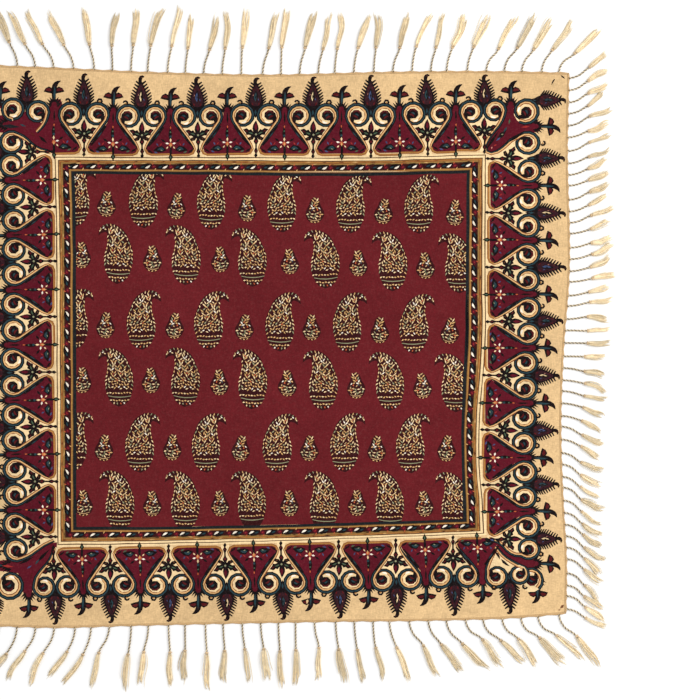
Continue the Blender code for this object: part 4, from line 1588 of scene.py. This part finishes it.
def printed_cotton():
    """Plain-woven cotton whose dye lies unevenly, with thick and thin yarns."""
    material, tree, shader = new_material("printed_cotton", 0.9, 0.06)
    places = add_node(tree, "ShaderNodeTexCoord").outputs["Object"]
    dye = add_node(tree, "ShaderNodeAttribute", attribute_name="dye").outputs["Color"]
    worn = ranged(tree, noise(tree, places, 9, 3), 0.91, 1.09)
    mottled = ranged(tree, noise(tree, places, 90, 3, 0.6), 0.92, 1.08)
    warp = noise(tree, stretched(tree, places, (1700, 150, 1)), 1.0, 1)
    weft = noise(tree, stretched(tree, places, (150, 1700, 1)), 1.0, 1)
    grain = ranged(tree, noise(tree, places, 560, 2, 0.6), 0.90, 1.10)
    yarns = times(tree, ranged(tree, warp, 0.91, 1.09), ranged(tree, weft, 0.91, 1.09))
    strength = times(tree, times(tree, times(tree, worn, mottled), grain), yarns)
    fibres = ranged(tree, noise(tree, places, 480, 3, 0.7), 0.0, FIBRE_LIGHT, *FIBRE_RANGE)
    layers = {0: dyed(tree, dye, strength), 1: dyed(tree, FIBRE_TINT, fibres)}
    whole = add_node(tree, "ShaderNodeVectorMath", layers, operation="ADD")
    tree.links.new(whole.outputs["Vector"], shader.inputs["Base Color"])
    relief = {"Strength": YARN_BUMP, "Distance": YARN_HEIGHT, "Height": yarns}
    bump = add_node(tree, "ShaderNodeBump", relief)
    tree.links.new(bump.outputs["Normal"], shader.inputs["Normal"])
    return material


def fringe_cotton():
    """Unbleached cotton yarn."""
    material, tree, shader = new_material("fringe_cotton", 0.9, 0.1)
    places = add_node(tree, "ShaderNodeTexCoord").outputs["Object"]
    dye = add_node(tree, "ShaderNodeAttribute", attribute_name="dye").outputs["Color"]
    uneven = ranged(tree, noise(tree, places, 260, 3, 0.6), 0.86, 1.12)
    tree.links.new(dyed(tree, dye, uneven), shader.inputs["Base Color"])
    return material


# The surface, the light and the camera

SURFACE_SIZE = 8.0
SURFACE_DROP = 0.2 * MM
SURFACE_WHITE = (0.98, 0.98, 0.98, 1.0)
SKY_STRENGTH = 0.84
LAMP_PLACE = (1.7, 0.7, 1.7)
LAMP_SIZE = 1.6
LAMP_TURNS = (-20, 44, 0)
LAMP_WATTS = 30
SENSOR_WIDTH = 36
CAMERA_HEIGHT = 5.0
CAMERA_MIDDLE = (80.5 * MM, -2.5 * MM)
PICTURE_WIDTH = 0.700
STRAND_LOOKS_SEED = 17


def make_surface():
    bpy.ops.mesh.primitive_plane_add(size=SURFACE_SIZE, location=(0, 0, -SURFACE_DROP))
    surface = bpy.context.object
    surface.name = "surface"
    material, tree, shader = new_material("white_surface", 0.9, 0.0)
    shader.inputs["Base Color"].default_value = SURFACE_WHITE
    surface.data.materials.append(material)


def make_light():
    world = bpy.data.worlds.new("studio")
    world.use_nodes = True
    background = world.node_tree.nodes["Background"]
    background.inputs["Color"].default_value = (1.0, 1.0, 1.0, 1.0)
    background.inputs["Strength"].default_value = SKY_STRENGTH
    bpy.context.scene.world = world
    lamp = bpy.data.lights.new("window", type="AREA")
    lamp.shape = "SQUARE"
    lamp.size = LAMP_SIZE
    lamp.energy = LAMP_WATTS
    lamp_object = bpy.data.objects.new("window", lamp)
    lamp_object.location = LAMP_PLACE
    lamp_object.rotation_euler = [math.radians(turn) for turn in LAMP_TURNS]
    bpy.context.scene.collection.objects.link(lamp_object)


def make_camera():
    """Straight above the cloth, from far away, with the cloth's left side just outside the picture."""
    camera = bpy.data.cameras.new("camera")
    camera.sensor_width = SENSOR_WIDTH
    camera.lens = SENSOR_WIDTH * CAMERA_HEIGHT / PICTURE_WIDTH
    camera_object = bpy.data.objects.new("camera", camera)
    camera_object.location = (*CAMERA_MIDDLE, CAMERA_HEIGHT)
    bpy.context.scene.collection.objects.link(camera_object)
    bpy.context.scene.camera = camera_object


def main():
    bpy.ops.object.select_all(action="DESELECT")
    cloth_print = Print()
    print_field(cloth_print)
    print_guard(cloth_print)
    print_borders(cloth_print)
    cloth_print.press(on_cloth, MARKS)
    cloth = make_cloth(cloth_print, printed_cotton())
    yarn = fringe_cotton()
    rng, looks = random.Random(STRAND_SEED), random.Random(STRAND_LOOKS_SEED)
    fringes = [make_fringe(side, yarn, rng, looks) for side in FRINGES]
    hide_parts("cloth")
    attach(cloth, "root")
    for side, fringe in zip(FRINGES, fringes):
        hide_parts("fringe_" + side)
        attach(fringe, "root")
    make_surface()
    make_light()
    make_camera()
    bpy.context.scene.view_settings.view_transform = "Standard"


main()
